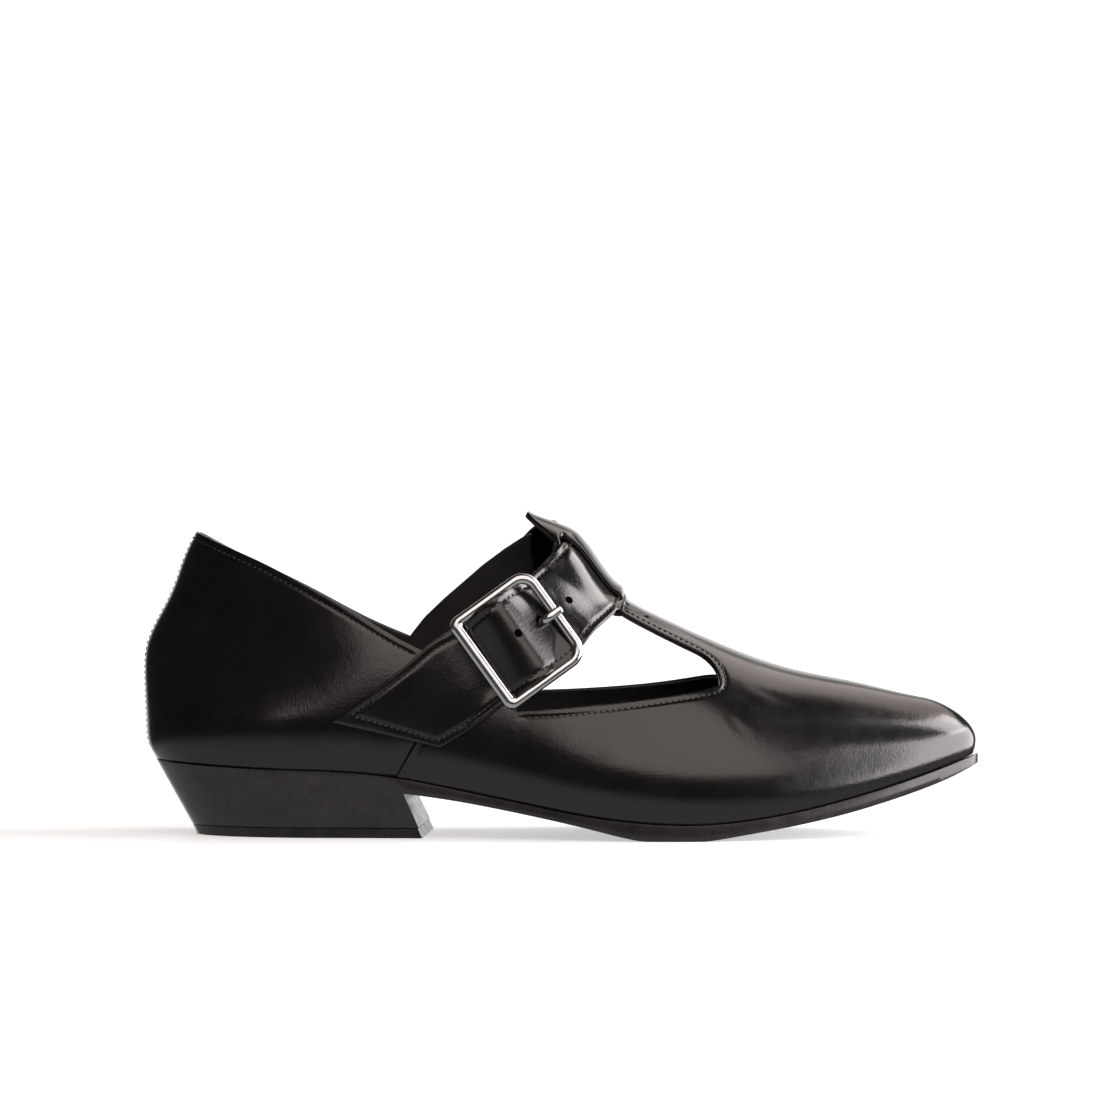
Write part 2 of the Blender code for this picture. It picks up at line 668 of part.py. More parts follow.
def build_sole(material):
    lateral = sole_columns(-1)
    medial = sole_columns(1)
    return make_object("sole", *ladder(lateral, medial), material)


def build_top_piece(material):
    """Thin lift under the heel, inset a little, with its lower edge rounded."""
    sides = []
    for side in (-1, 1):
        columns = []
        for one in sole_columns(side):
            x, y, z = one[-1]
            if z > TOP_PIECE + GAP + 0.01 or x > BREAST_FOOT_X + BREAST_SKEW + 0.1:
                continue
            inset = 0.985
            middle = (BREAST_FOOT_X + 17) / 2
            at = middle + (x - middle) * inset
            low = middle + (x - middle) * (inset - 0.015)
            rows = [(at, y * inset, TOP_PIECE), (at, y * inset, 0.8), (low, y * (inset - 0.02), 0.0)]
            columns.append(rows)
        sides.append(columns)
    lateral, medial = sides
    centre = [tuple((a + b) / 2 for a, b in zip(p, q)) for p, q in zip(lateral[-1], medial[-1])]
    return make_object("heel_top_piece", *ladder(lateral + [centre], medial + [centre]), material)


def build_insole(material):
    sides = []
    for side in (-1, 1):
        edge = offset(edge_stations(side), -INSOLE_MARGIN, side)
        columns = []
        for x, y in edge:
            top = SOLE_TOP(x) + GAP + INSOLE_THICK
            columns.append([(x, y, top), (x, y, SOLE_TOP(x) + GAP)])
        sides.append(columns)
    return make_object("insole", *ladder(*sides), material)


# Strap and buckle

def tangents(x, m):
    step_x = (last_point(x + 0.2, m) - last_point(x - 0.2, m)) / 0.4
    step_m = (last_point(x, m + 0.004) - last_point(x, m - 0.004)) / 0.008
    return step_x, step_m


def walk(place, direction, length, step=1.0, turn=None):
    """Goes ahead on the last's surface. turn gives the degrees turned for each millimetre at a distance gone."""
    x, m = place
    gone = 0.0
    while length - gone > 1e-6:
        now = min(step, length - gone)
        step_x, step_m = tangents(x, m)
        move, *_ = np.linalg.lstsq(np.stack([step_x, step_m], axis=1), direction * now, rcond=None)
        x, m = x + move[0], m + move[1]
        normal = last_normal(x, m)
        direction = direction - normal * (direction @ normal)
        direction = direction / np.linalg.norm(direction)
        if turn:
            angle = math.radians(turn(gone)) * now
            direction = direction * math.cos(angle) + np.cross(normal, direction) * math.sin(angle)
        gone += now
    return (x, m), direction


def strap_turn(sign, done):
    """Turn of the strap beyond a distance already done."""
    return lambda gone: sign * STRAP_TURN(sign * (done + gone))


def strap_stations(distances):
    """Place, direction and direction across for each distance along the strap from the buckle's middle."""
    start = (BUCKLE_X, m_at_height(BUCKLE_X, BUCKLE_Z, -1))
    slope = math.radians(STRAP_SLOPE)
    ahead = np.array((math.cos(slope), 0.0, math.sin(slope)))
    normal = last_normal(*start)
    ahead = ahead - normal * (ahead @ normal)
    ahead = ahead / np.linalg.norm(ahead)
    stations = {}
    for sign in (-1, 1):
        place = start
        direction = sign * ahead
        done = 0.0
        for distance in sorted((d for d in distances if d * sign >= 0), key=abs):
            place, direction = walk(place, direction, abs(distance) - done, 1.0, strap_turn(sign, done))
            done = abs(distance)
            across = np.cross(last_normal(*place), sign * direction)
            stations[distance] = (place, sign * direction, across)
    return [stations[distance] for distance in distances]


def strap_place(station, v):
    """Place on the last at v across the strap, positive towards its upper edge."""
    place, _, across = station
    return walk(place, across * math.copysign(1.0, v), abs(v), 3.0)[0]


STRAP_ALONG = (-36.5, -33, -29, -25, -21, -18, -15.5, -13.5, -11.5, -9, -6, -3, 0, 3, 6, 9, 11.5, 13.5, 15.5, 18)
STRAP_ALONG += (22, 27, 32, 36, 39, 42, 45, 48, 51, 55, 60, 66, 72, 79, 86, 93, 100)
STRAP_ACROSS = (-1.0, -0.5, 0.0, 0.5, 1.0)
HOLE_SIDES = 14
HOLE_DEPTHS = (-5.0, 3.0)


def strap_end_shift(v):
    """How much further the slanted tail runs at v: its point is at the upper edge."""
    return -STRAP_TAIL_SLANT * (v + 1) / 2


def build_strap(material):
    """The strap: a band walked over the last, lifted over the buckle's bar, with its slanted tail and holes."""
    rows = []
    for v in STRAP_ACROSS:
        shift = strap_end_shift(v)
        along = [d + shift * max(0.0, (-16 - d) / (-16 - STRAP_ALONG[0])) for d in STRAP_ALONG]
        rows.append([strap_points(d, station, v) for d, station in zip(along, strap_stations(along))])
    count = len(STRAP_ALONG)
    sheet = Sheet()
    ids = [[sheet.add(rows[j][i], STRAP_THICK) for i in range(count)] for j in range(len(STRAP_ACROSS))]
    for first, second in zip(ids, ids[1:]):
        sheet.strip(second, first)
    strap = make_object("strap", *sheet.solid(), material)
    for distance, radius in STRAP_HOLES:
        cut_hole(strap, distance, radius)
    return strap


def strap_points(distance, station, v):
    """Outer point of the strap."""
    place = strap_place(station, v * STRAP_WIDTH(distance) / 2) if v else station[0]
    return last_point(*place) + last_normal(*place) * (STRAP_LIFT(distance) + STRAP_THICK)


def cut_hole(strap, distance, radius):
    """Round hole through the strap, square to it."""
    places = (distance - 0.5, distance, distance + 0.5)
    stations = strap_stations(places)
    before, middle, after = [strap_points(d, station, 0.0) for d, station in zip(places, stations)]
    along = (after - before) / np.linalg.norm(after - before)
    across = stations[1][2]
    outward = np.cross(along, across)
    turns = [2 * math.pi * i / HOLE_SIDES for i in range(HOLE_SIDES)]
    ring = [middle + radius * (along * math.cos(a) + across * math.sin(a)) for a in turns]
    points, faces = loft([[point + outward * height for point in ring] for height in HOLE_DEPTHS])
    combine(strap, make_object(f"hole_{distance}", points, faces, strap.data.materials[0]), "DIFFERENCE")


def buckle_frame_axes():
    """Origin, direction along the strap, across it and outwards, in the plane that best rests on the upper."""
    (place, along, across), = strap_stations((0.0,))
    middle = last_point(*place)
    corners = []
    for s in (-1, 1):
        for v in (-1, 1):
            ahead = (along * s + across * v) / math.sqrt(2)
            corners.append(last_point(*walk(place, ahead, FRAME_WIDTH * 0.62, 3.0)[0]))
    outward = np.cross(corners[3] - corners[0], corners[1] - corners[2])
    outward = outward / np.linalg.norm(outward)
    along = along - outward * (along @ outward)
    along = along / np.linalg.norm(along)
    rise = max((corner - middle) @ outward for corner in corners + [middle])
    return middle + outward * rise, along, np.cross(outward, along), outward


def on_buckle(s, v, n):
    origin, along, across, outward = BUCKLE_AXES
    return origin + along * s + across * v + outward * n


BUCKLE_AXES = buckle_frame_axes()


def rounded_frame(inset):
    """Ring of points (s, v) round the frame, inset from its outer edge by parts of each bar's width."""
    tail_bar, head_bar, side_bar = FRAME_BARS
    low_s = -FRAME_LENGTH / 2 + inset * tail_bar
    high_s = FRAME_LENGTH / 2 - inset * head_bar
    half_v = FRAME_WIDTH / 2 - inset * side_bar
    points = []
    corners = ((high_s, half_v, 0, 1), (low_s, half_v, 90, 0), (low_s, -half_v, 180, 0), (high_s, -half_v, 270, 1))
    for s, v, turn, kind in corners:
        radius = max(0.9, FRAME_CORNERS[kind] - inset * 2.6)
        centre = (s - math.copysign(radius, s), v - math.copysign(radius, v))
        for i in range(6):
            angle = math.radians(turn + 18 * i)
            points.append((centre[0] + radius * math.cos(angle), centre[1] + radius * math.sin(angle)))
    return points


def build_buckle_frame(material):
    """Frame with rounded bars, and its centre bar."""
    low, high = FRAME_HEIGHT
    rows = ((0.0, 0.3), (0.0, 0.7), (0.28, 1.0), (0.72, 1.0), (1.0, 0.7), (1.0, 0.3), (0.8, 0.0), (0.2, 0.0))
    rings = []
    for inset, height in rows:
        n = low + (high - low) * height
        rings.append([on_buckle(s, v, n) for s, v in rounded_frame(inset)])
    count = len(rings[0])
    points = np.concatenate(rings)
    faces = []
    for i in range(len(rings)):
        after = (i + 1) % len(rings)
        for k in range(count):
            nxt = (k + 1) % count
            faces.append([i * count + k, i * count + nxt, after * count + nxt, after * count + k])
    frame = make_object("buckle_frame", points, faces, material)
    reach = FRAME_WIDTH / 2 - FRAME_BARS[2] * 0.5
    bar = []
    for v in (-reach, reach):
        turns = [-2 * math.pi * (i + 0.5) / 10 for i in range(10)]
        ring = [(BAR_RADIUS * math.cos(a), BAR_HEIGHT + BAR_RADIUS * math.sin(a)) for a in turns]
        bar.append([on_buckle(s, v, n) for s, n in ring])
    combine(frame, make_object("centre_bar", *loft(bar), material), "UNION")
    return frame


def build_prong(material):
    """Pin hooked round the centre bar. It comes up through the strap and rests on the frame's head bar."""
    ring_radius = BAR_RADIUS + GAP + PRONG_RADIUS
    route = []
    for degrees in range(-35, -300, -32):
        angle = math.radians(degrees)
        route.append((ring_radius * math.cos(angle), BAR_HEIGHT + ring_radius * math.sin(angle)))
    route += list(PRONG_ROUTE)
    rings = []
    for i, (s, n) in enumerate(route):
        before = route[max(i - 1, 0)]
        after = route[min(i + 1, len(route) - 1)]
        run = (after[0] - before[0], after[1] - before[1])
        length = math.hypot(*run)
        side = (-run[1] / length, run[0] / length)
        radius = PRONG_RADIUS * (0.8 if i == len(route) - 1 else 1.0)
        ring = []
        for k in range(8):
            angle = 2 * math.pi * (k + 0.5) / 8
            up = radius * math.sin(angle)
            ring.append(on_buckle(s + side[0] * up, 1.25 * radius * math.cos(angle), n + side[1] * up))
        rings.append(ring)
    return make_object("buckle_prong", *loft(rings), material)


def build_chape(material):
    """Leather loop round the centre bar, slotted for the prong, with its leg on the lateral tab."""
    inner = BAR_RADIUS + 0.25
    outer = inner + CHAPE_THICK
    steps = [math.radians(d) for d in range(-90, 181, 30)]
    far = [(outer * math.cos(a), BAR_HEIGHT + outer * math.sin(a)) for a in steps]
    near = [(inner * math.cos(a), BAR_HEIGHT + inner * math.sin(a)) for a in steps]
    outline = [(-CHAPE_LENGTH, BAR_HEIGHT - outer)] + far + near[::-1] + [(-CHAPE_LENGTH, BAR_HEIGHT - inner)]
    half = CHAPE_WIDTH / 2
    slot = CHAPE_SLOT / 2
    rings = [[on_buckle(s, v, n) for s, n in outline] for v in (half, -half)]
    chape = make_object("buckle_chape", *loft(rings), material)
    box = ((-3.6, -slot), (6.0, -slot), (6.0, slot), (-3.6, slot))
    cutter = [[on_buckle(s, v, n) for s, v in box] for n in (-3.0, 9.0)]
    combine(chape, make_object("chape_slot", *loft(cutter), material), "DIFFERENCE")
    return chape


def main():
    for obj in list(bpy.data.objects):
        bpy.data.objects.remove(obj)
    leather = make_material("black_leather", (0.012, 0.011, 0.011), 0.28)
    rubber = make_material("sole_rubber", (0.02, 0.019, 0.018), 0.45)
    lift = make_material("top_piece_rubber", (0.015, 0.015, 0.015), 0.6)
    sock = make_material("insole_leather", (0.03, 0.028, 0.026), 0.6)
    chrome = make_material("buckle_chrome", (0.8, 0.8, 0.8), 0.12, 1.0)
    build_sole(rubber)
    build_top_piece(lift)
    build_insole(sock)
    build_upper(leather)
    build_strap(leather.copy())
    build_buckle_frame(chrome)
    build_prong(chrome.copy())
    build_chape(leather.copy())


main()
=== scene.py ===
"""Looks of the T-strap shoe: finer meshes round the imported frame, materials, studio and camera.

Sizes are in millimetres until the meshes are made. x runs from the back of the heel to the toe, the lateral
side is at -y and the floor is z = 0. A side is -1 where it is lateral and 1 where it is medial.
"""

import bisect
import math

import bpy
import numpy as np
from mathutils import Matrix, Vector, kdtree, noise
from mathutils.bvhtree import BVHTree


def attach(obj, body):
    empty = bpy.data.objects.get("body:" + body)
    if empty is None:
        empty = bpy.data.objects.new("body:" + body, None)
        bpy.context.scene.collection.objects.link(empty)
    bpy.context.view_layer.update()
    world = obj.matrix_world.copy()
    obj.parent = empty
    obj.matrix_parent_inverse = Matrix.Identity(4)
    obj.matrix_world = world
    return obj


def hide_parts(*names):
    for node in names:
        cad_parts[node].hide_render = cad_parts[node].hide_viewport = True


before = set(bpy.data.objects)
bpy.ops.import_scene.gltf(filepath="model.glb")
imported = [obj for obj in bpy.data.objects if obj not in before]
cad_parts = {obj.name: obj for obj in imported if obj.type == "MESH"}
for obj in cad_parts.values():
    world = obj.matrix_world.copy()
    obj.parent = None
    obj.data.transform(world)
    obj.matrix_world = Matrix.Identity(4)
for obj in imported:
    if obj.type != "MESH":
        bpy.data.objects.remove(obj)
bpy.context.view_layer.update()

# Overall
MM = 0.001
SIDES = (-1, 1)
X_MIDDLE = 132.4
Y_MIDDLE = -0.05
GAP = 0.3
WALL = 1.8

# Last: one row for each section
LAST_ROWS = (
    # x, lateral, medial, ridge_y, ridge_z, fullness, bulge, bulge_rise
    (45, 26.5, 26.0, 0.0, 127.0, 1.65, 2.8, 19),
    (70, 27.0, 24.6, 0.0, 122.0, 1.60, 3.0, 16),
    (95, 28.0, 22.8, 0.0, 114.0, 1.50, 3.2, 14),
    (121, 31.0, 24.0, 0.0, 101.0, 1.42, 3.2, 13),
    (134, 33.5, 26.8, 0.0, 89.4, 1.38, 3.0, 12),
    (146, 35.6, 30.0, 0.2, 76.6, 1.38, 2.8, 12),
    (152, 36.5, 31.8, 0.4, 73.2, 1.40, 2.7, 12),
    (165, 37.5, 35.2, 0.8, 67.9, 1.45, 2.5, 11),
    (182, 36.0, 37.6, 1.6, 60.9, 1.60, 2.2, 10),
    (204, 29.8, 35.2, 3.0, 53.0, 1.82, 1.6, 8),
    (225, 21.5, 27.8, 4.0, 48.5, 1.95, 1.1, 5.5),
    (245, 13.0, 19.6, 4.0, 43.9, 1.85, 0.9, 4.3),
    (265, 5.0, 8.0, 4.0, 40.6, 1.85, 0.9, 4.3),
)
X_HEEL = 45.0
X_TOE = 225.0
TOE_TIP = (263.4, 4.0)
TOE_HANDLES = (19.0, 8.5)
TOE_RIDGE = 22.0
TOE_RIDGE_FADE = 2.36
BULGE_ROUND = 0.2
HEEL_ROUND = 0.6
HEEL_SLOPE_SPAN = (0.001, 1.0)
PINCH = 0.0055
PINCH_FRONT_X = 84.0
PINCH_HEIGHTS = (32.0, 60.0)
SMALL_X = 0.2
SMALL_M = 0.004
TINY = 0.01

# Back of the heel: height above the floor, distance in from the rearmost point
BACK_ROWS = (
    (22.0, 5.0), (24.5, 3.2), (28.0, 1.3), (34.0, 0.4), (44.0, 0.0), (53.0, -0.2), (59.0, 0.3),
    (64.0, 1.9), (70.0, 4.9), (78.0, 8.9), (87.0, 12.1), (96.0, 16.2),
)

# Sole edge: x, height of its top, height of its underside
SOLE_ROWS = (
    (3, 23.8, 17.6), (20, 22.7, 17.1), (43, 21.6, 16.4), (78, 19.6, 14.8), (99, 15.8, 12.2), (122, 11.2, 8.0),
    (144, 7.2, 3.3), (160, 5.5, -0.1), (176, 5.0, -0.3), (192, 6.2, 2.0), (208, 8.8, 4.7), (225, 12.8, 8.4),
    (241, 17.4, 13.0), (254, 21.8, 17.5), (265, 26.0, 22.3),
)
BREAST_TOP_X = 84.0
BREAST_FOOT_X = 88.5
HEEL_LEAN = 11.3
HEEL_LAST_TOP_X = 75.8
TOP_PIECE = 3.0

# Toplines: x, height
LATERAL_COLLAR = (
    (16.5, 95.9), (26, 91.8), (38.8, 86.3), (51.6, 79.9), (70, 69.9), (83.5, 62.0), (89.4, 59.2),
)
LATERAL_TAB = ((89.4, 59.2), (97, 64.4), (104, 69.5), (110, 72.0), (114.5, 66.5), (117, 56.0), (119.2, 40.4))
LATERAL_VAMP = ((119.2, 40.4), (132, 41.0), (146, 42.4), (160, 44.2), (170, 45.6), (182.4, 47.4))
MEDIAL_COLLAR = ((16.5, 95.9), (26, 90.2), (38.8, 83.7), (51.6, 77.2), (70, 67.4), (83.1, 61.8))
MEDIAL_WING = (
    (83.1, 61.8), (88, 68.0), (94.5, 74.2), (101, 79.8), (107, 85.0), (114, 90.2), (119.5, 93.8),
    (122.6, 95.4), (123.6, 80.0), (124.6, 44.4),
)
MEDIAL_VAMP = ((124.6, 44.4), (132, 44.6), (146, 45.4), (160, 46.6), (170, 48.0), (182.4, 50.2))
X_THROAT = 183.4
THROAT_ROUND = 8.0
THROAT_HEIGHT = 0.74
THROAT_M = math.sqrt(1 - THROAT_HEIGHT)

# T-bar: x, half width, lift of its middle over the strap, lift of its margins
BAR_ROWS = (
    (121.0, 2.8, 1.9, 1.9), (122.4, 4.8, 2.1, 2.1), (124.0, 6.4, 2.7, 2.7), (126.0, 8.1, 3.7, 3.7),
    (128.0, 9.5, 4.8, 4.8), (129.8, 10.4, 5.9, 5.9), (131.4, 10.6, 6.8, 0.0), (133.0, 10.6, 7.2, 0.0),
    (136.5, 10.6, 7.0, 0.0), (143.0, 10.4, 5.8, 0.0), (147.0, 10.8, 5.2, 0.0), (150.0, 11.4, 5.0, 0.2),
    (151.6, 11.7, 2.7, 1.7), (153.6, 11.8, 1.6, 1.1), (158.0, 12.0, 1.1, 0.4), (164.0, 13.0, 0.6, 0.0),
    (174.0, 15.0, 0.1, 0.0), (182.4, 16.0, 0.0, 0.0),
)
BAR_SMOOTH = 0.8
BAR_OVER = 1.3
SLIT_X = (129.8, 151.6)
SLIT_Y = 7.8
SLIT_PART = 0.72
SLIT_FADE_X = (160.0, 180.0)
SLIT_PART_FALL = 0.12

# Strap: walked over the last from the middle of the buckle
BUCKLE_X = 119.6
BUCKLE_Z = 62.6
STRAP_SLOPE = 38.0
STRAP_START = -37.2
STRAP_END = 100.0
STRAP_BEND_START = -16.0
STRAP_TAIL_SLANT = 26.0
STRAP_THICK = 2.0
STRAP_WIDTH_ROWS = (
    # distance along, width, shift of the middle towards the upper edge
    (-70, 21.4, -3.7), (-62, 22.4, -3.2), (-45, 24.8, -2.0), (-32, 26.9, -1.1), (-23, 28.4, -0.3),
    (-19, 27.6, -0.4), (-15, 26.2, -0.5), (-8, 27.6, -1.2), (10, 28.0, -1.2), (13, 27.4, -0.6),
    (16, 26.4, 0.2), (20, 25.8, 0.6), (26, 26.8, 0.6), (32, 28.2, 0.0), (44, 28.2, 0.0), (50, 32.8, 2.5),
    (62, 32.4, 2.8), (75, 26.0, 0.0), (110, 23.4, 0.0),
)
STRAP_LIFT_ROWS = (
    # distance along, height of the strap's underside above the upper
    (-70, 1.4), (-50, 1.9), (-30, 1.9), (-22, 1.75), (-18, 1.5), (-16.5, 1.4), (-13.5, 1.45), (-10.5, 2.3),
    (-7, 4.0), (-4, 5.2), (-1, 5.5), (1, 5.2), (3, 4.4), (5, 3.5), (7, 2.6), (9, 1.9), (11, 1.4), (13, 1.2),
    (15, 1.1), (19, 0.8), (24, 0.6), (33, 1.2), (45, 1.3), (56, 1.2), (66, 0.6), (75, 0.4), (110, 0.4),
)
STRAP_LEAST_LIFT = 0.35
STRAP_TILT_ROWS = (
    # distance along, how much further the upper edge stands off than the lower one
    (-70, 2.0), (-50, 3.0), (-30, 3.2), (-20, 3.6), (-14, 3.8), (-8, 5.0), (-1, 8.0), (7, 7.6), (12, 4.0),
    (16, 1.6), (22, 0.0), (110, 0.0),
)
STRAP_TURN_ROWS = (
    # distance along, turn towards the heel in degrees for each millimetre
    (-70, 0.2), (2, 0.2), (8, 0.52), (14, 0.67), (40, 0.66), (55, 0.66), (59, 0.0), (64, -0.5), (110, -0.5),
)
STRAP_WIDTH_SMOOTH = 3.0
STRAP_LIFT_SMOOTH = 1.6
STRAP_TILT_SMOOTH = 4.0


# Curves

SMOOTH_SAMPLES = 9


def cubic(x, values, bend, i, at):
    """Value at a place in step i of a natural cubic spline."""
    step = x[i + 1] - x[i]
    a = (x[i + 1] - at) / step
    b = 1 - a
    curve = (a**3 - a) * bend[i] + (b**3 - b) * bend[i + 1]
    return a * values[i] + b * values[i + 1] + curve * step * step / 6


def spline_bend(x, values):
    """Second derivatives of a natural cubic spline at its rows, for each column of values."""
    count = len(x)
    matrix = np.eye(count)
    right = np.zeros(values.shape)
    for i in range(1, count - 1):
        before = x[i] - x[i - 1]
        after = x[i + 1] - x[i]
        matrix[i, i - 1 : i + 2] = before, 2 * (before + after), after
        right[i] = 6 * ((values[i + 1] - values[i]) / after - (values[i] - values[i - 1]) / before)
    return np.linalg.solve(matrix, right)


def spline(rows):
    """Natural cubic spline through (x, value) rows, held at its end values beyond them."""
    x = [float(row[0]) for row in rows]
    y = [float(row[1]) for row in rows]
    bend = spline_bend(x, np.array(y)[:, None])[:, 0].tolist()

    def value(at):
        at = min(max(at, x[0]), x[-1])
        i = min(max(bisect.bisect_right(x, at) - 1, 0), len(x) - 2)
        return cubic(x, y, bend, i, at)

    return value


def resample(x, values, at):
    """Rows of values, splined along x, at other places."""
    x = np.asarray(x, float)
    values = np.asarray(values, float)
    flat = values.reshape(len(x), -1)
    i = np.clip(np.searchsorted(x, at, side="right") - 1, 0, len(x) - 2)
    found = cubic(x[:, None], flat, spline_bend(x, flat), i, np.asarray(at)[:, None])
    return found.reshape((len(at),) + values.shape[1:])


def linear(rows, spread=0.0):
    """Straight lines through (x, value) rows, with corners rounded over a spread."""
    x, y = zip(*rows)
    if not spread:
        return lambda at: float(np.interp(at, x, y))
    around = spread * np.linspace(-1, 1, SMOOTH_SAMPLES)
    return lambda at: float(np.interp(at + around, x, y).mean())


def pairs(rows, index):
    """The first and one other column of a table."""
    return [(row[0], row[index]) for row in rows]


EDGE_Y = {-1: spline(pairs(LAST_ROWS, 1)), 1: spline(pairs(LAST_ROWS, 2))}
RIDGE_Y, RIDGE_Z, FULLNESS, BULGE, BULGE_RISE = (spline(pairs(LAST_ROWS, k)) for k in range(3, 8))
BACK_X = spline(BACK_ROWS)
SOLE_TOP, SOLE_UNDER = (spline(pairs(SOLE_ROWS, k)) for k in (1, 2))
COLLAR = {-1: spline(LATERAL_COLLAR), 1: spline(MEDIAL_COLLAR)}
TAB = {-1: linear(LATERAL_TAB), 1: linear(MEDIAL_WING)}
VAMP = {-1: spline(LATERAL_VAMP), 1: spline(MEDIAL_VAMP)}
NOTCH_X = {-1: LATERAL_TAB[0][0], 1: MEDIAL_WING[0][0]}
TAB_END_X = {-1: LATERAL_TAB[-1][0], 1: MEDIAL_WING[-1][0]}
BAR_WIDTH = spline(pairs(BAR_ROWS, 1))
BAR_MIDDLE_LIFT, BAR_MARGIN_LIFT = (linear(pairs(BAR_ROWS, k), BAR_SMOOTH) for k in (2, 3))
STRAP_WIDTH, STRAP_SHIFT = (linear(pairs(STRAP_WIDTH_ROWS, k), STRAP_WIDTH_SMOOTH) for k in (1, 2))
STRAP_LIFT = linear(STRAP_LIFT_ROWS, STRAP_LIFT_SMOOTH)
STRAP_TILT = linear(STRAP_TILT_ROWS, STRAP_TILT_SMOOTH)
STRAP_TURN = linear(STRAP_TURN_ROWS)


def bezier(p0, p1, p2, p3, t):
    """Point of a cubic curve with two handles."""
    s = 1 - t
    both = zip(p0, p1, p2, p3)
    return tuple(s**3 * a + 3 * s * s * t * b + 3 * s * t * t * c + t**3 * d for a, b, c, d in both)


def smooth(part):
    """A part from 0 to 1 with a soft start and end."""
    return part * part * (3 - 2 * part)


def unit(vectors):
    """Vectors of length 1."""
    return vectors / np.linalg.norm(vectors, axis=-1, keepdims=True)


def circle(count):
    """Even angles of a full turn."""
    return [2 * math.pi * k / count for k in range(count)]


def stations(start, end, step):
    """Even places from a start up to an end, without the end."""
    count = max(1, round(abs(end - start) / step))
    return [start + (end - start) * i / count for i in range(count)]


def gone_along(path):
    """Distance gone at each point of a path."""
    return np.concatenate([[0.0], np.cumsum(np.linalg.norm(np.diff(path, axis=0), axis=1))])


def on_path(path, gone, at):
    """Points of a path at distances along it."""
    return np.stack([np.interp(at, gone, path[:, k]) for k in range(3)], axis=1)


# The last's surface

def section(x, side):
    """Sizes of one half of the last's section: ridge y and z, reach of edge and bulge, heights, fullness."""
    ridge_y = RIDGE_Y(x)
    reach = EDGE_Y[side](x) - side * ridge_y
    foot = SOLE_TOP(x) + GAP
    return ridge_y, RIDGE_Z(x), reach, reach + BULGE(x), foot, foot + BULGE_RISE(x), FULLNESS(x)


def tuck(reach, widest, part):
    """Reach of the wall between its foot (part 0) and its bulge (part 1)."""
    return reach + (widest - reach) * (1 - (1 - part) ** 2)


def crown_span(fullness):
    """Start and span of the crown's curve, which is rounded at the bulge."""
    low = BULGE_ROUND**fullness
    return low, (1 + BULGE_ROUND**2) ** (fullness / 2) - low


def crown_reach(rise, fullness):
    """Reach of the section above its bulge, as a part of its widest, at a rise of 0 (bulge) to 1 (ridge)."""
    low, span = crown_span(fullness)
    return math.sqrt(max(0.0, 1 - ((rise * rise + BULGE_ROUND**2) ** (fullness / 2) - low) / span))


def crown_rise(reach, fullness):
    """Rise of the section at a reach: the other way round from crown_reach."""
    low, span = crown_span(fullness)
    return math.sqrt(max(0.0, ((1 - reach * reach) * span + low) ** (2 / fullness) - BULGE_ROUND**2))


def crown_height(x, side, rise):
    """Height of the last's side at a rise of 0 (bulge) to 1 (ridge)."""
    _, ridge_z, _, _, _, bulge_z, _ = section(x, side)
    return bulge_z + (ridge_z - bulge_z) * rise


def pinch(x, z):
    """How much the quarters draw in towards the heel's top line."""
    low, high = PINCH_HEIGHTS
    part = min(1.0, max(0.0, (z - low) / (high - low)))
    return PINCH / 2 * max(0.0, PINCH_FRONT_X - x) ** 2 * smooth(part)


def wall_y(x, z, side):
    """y of the last's side at a height."""
    ridge_y, ridge_z, reach, widest, foot, bulge_z, fullness = section(x, side)
    if z < bulge_z:
        across = tuck(reach, widest, max(0.0, (z - foot) / (bulge_z - foot)))
    else:
        across = widest * crown_reach(min(1.0, (z - bulge_z) / (ridge_z - bulge_z)), fullness)
    return ridge_y + side * (across - pinch(x, z))


def last_point(x, m):
    """Point of the last: m is 0 on the ridge and 1 at the bulge, negative on the lateral side."""
    side = -1 if m < 0 else 1
    z = crown_height(x, side, 1 - m * m if abs(m) <= 1 else 2 - 2 * abs(m))
    return np.array((x, wall_y(x, z, side), z))


def m_at_height(x, z, side):
    """The last's m at a height on one side."""
    _, ridge_z, _, _, _, bulge_z, _ = section(x, side)
    rise = (z - bulge_z) / (ridge_z - bulge_z)
    return side * (math.sqrt(max(0.0, 1 - rise)) if rise > 0 else 1 - rise / 2)


def tangents(x, m):
    """Directions of the last's surface along x and along m."""
    step_x = (last_point(x + SMALL_X, m) - last_point(x - SMALL_X, m)) / (2 * SMALL_X)
    step_m = (last_point(x, m + SMALL_M) - last_point(x, m - SMALL_M)) / (2 * SMALL_M)
    return step_x, step_m


def last_normal(x, m):
    """Outward normal of the last."""
    return unit(np.cross(*tangents(x, m)))


def toe_edge(t, side):
    """Edge of the last from its side (t 0) to the tip of the toe (t 1)."""
    start = (X_TOE, side * EDGE_Y[side](X_TOE))
    slope = side * (EDGE_Y[side](X_TOE + 1) - EDGE_Y[side](X_TOE - 1)) / 2
    length = math.hypot(1, slope)
    along, in_from_side = TOE_HANDLES
    first = (start[0] + along / length, start[1] + along * slope / length)
    second = (TOE_TIP[0], TOE_TIP[1] + side * in_from_side)
    return bezier(start, first, second, TOE_TIP, t)


def toe_ridge_x(t):
    """x where the toe's column at t meets the ridge."""
    return X_TOE + TOE_RIDGE * (1 - (1 - t) ** TOE_RIDGE_FADE)


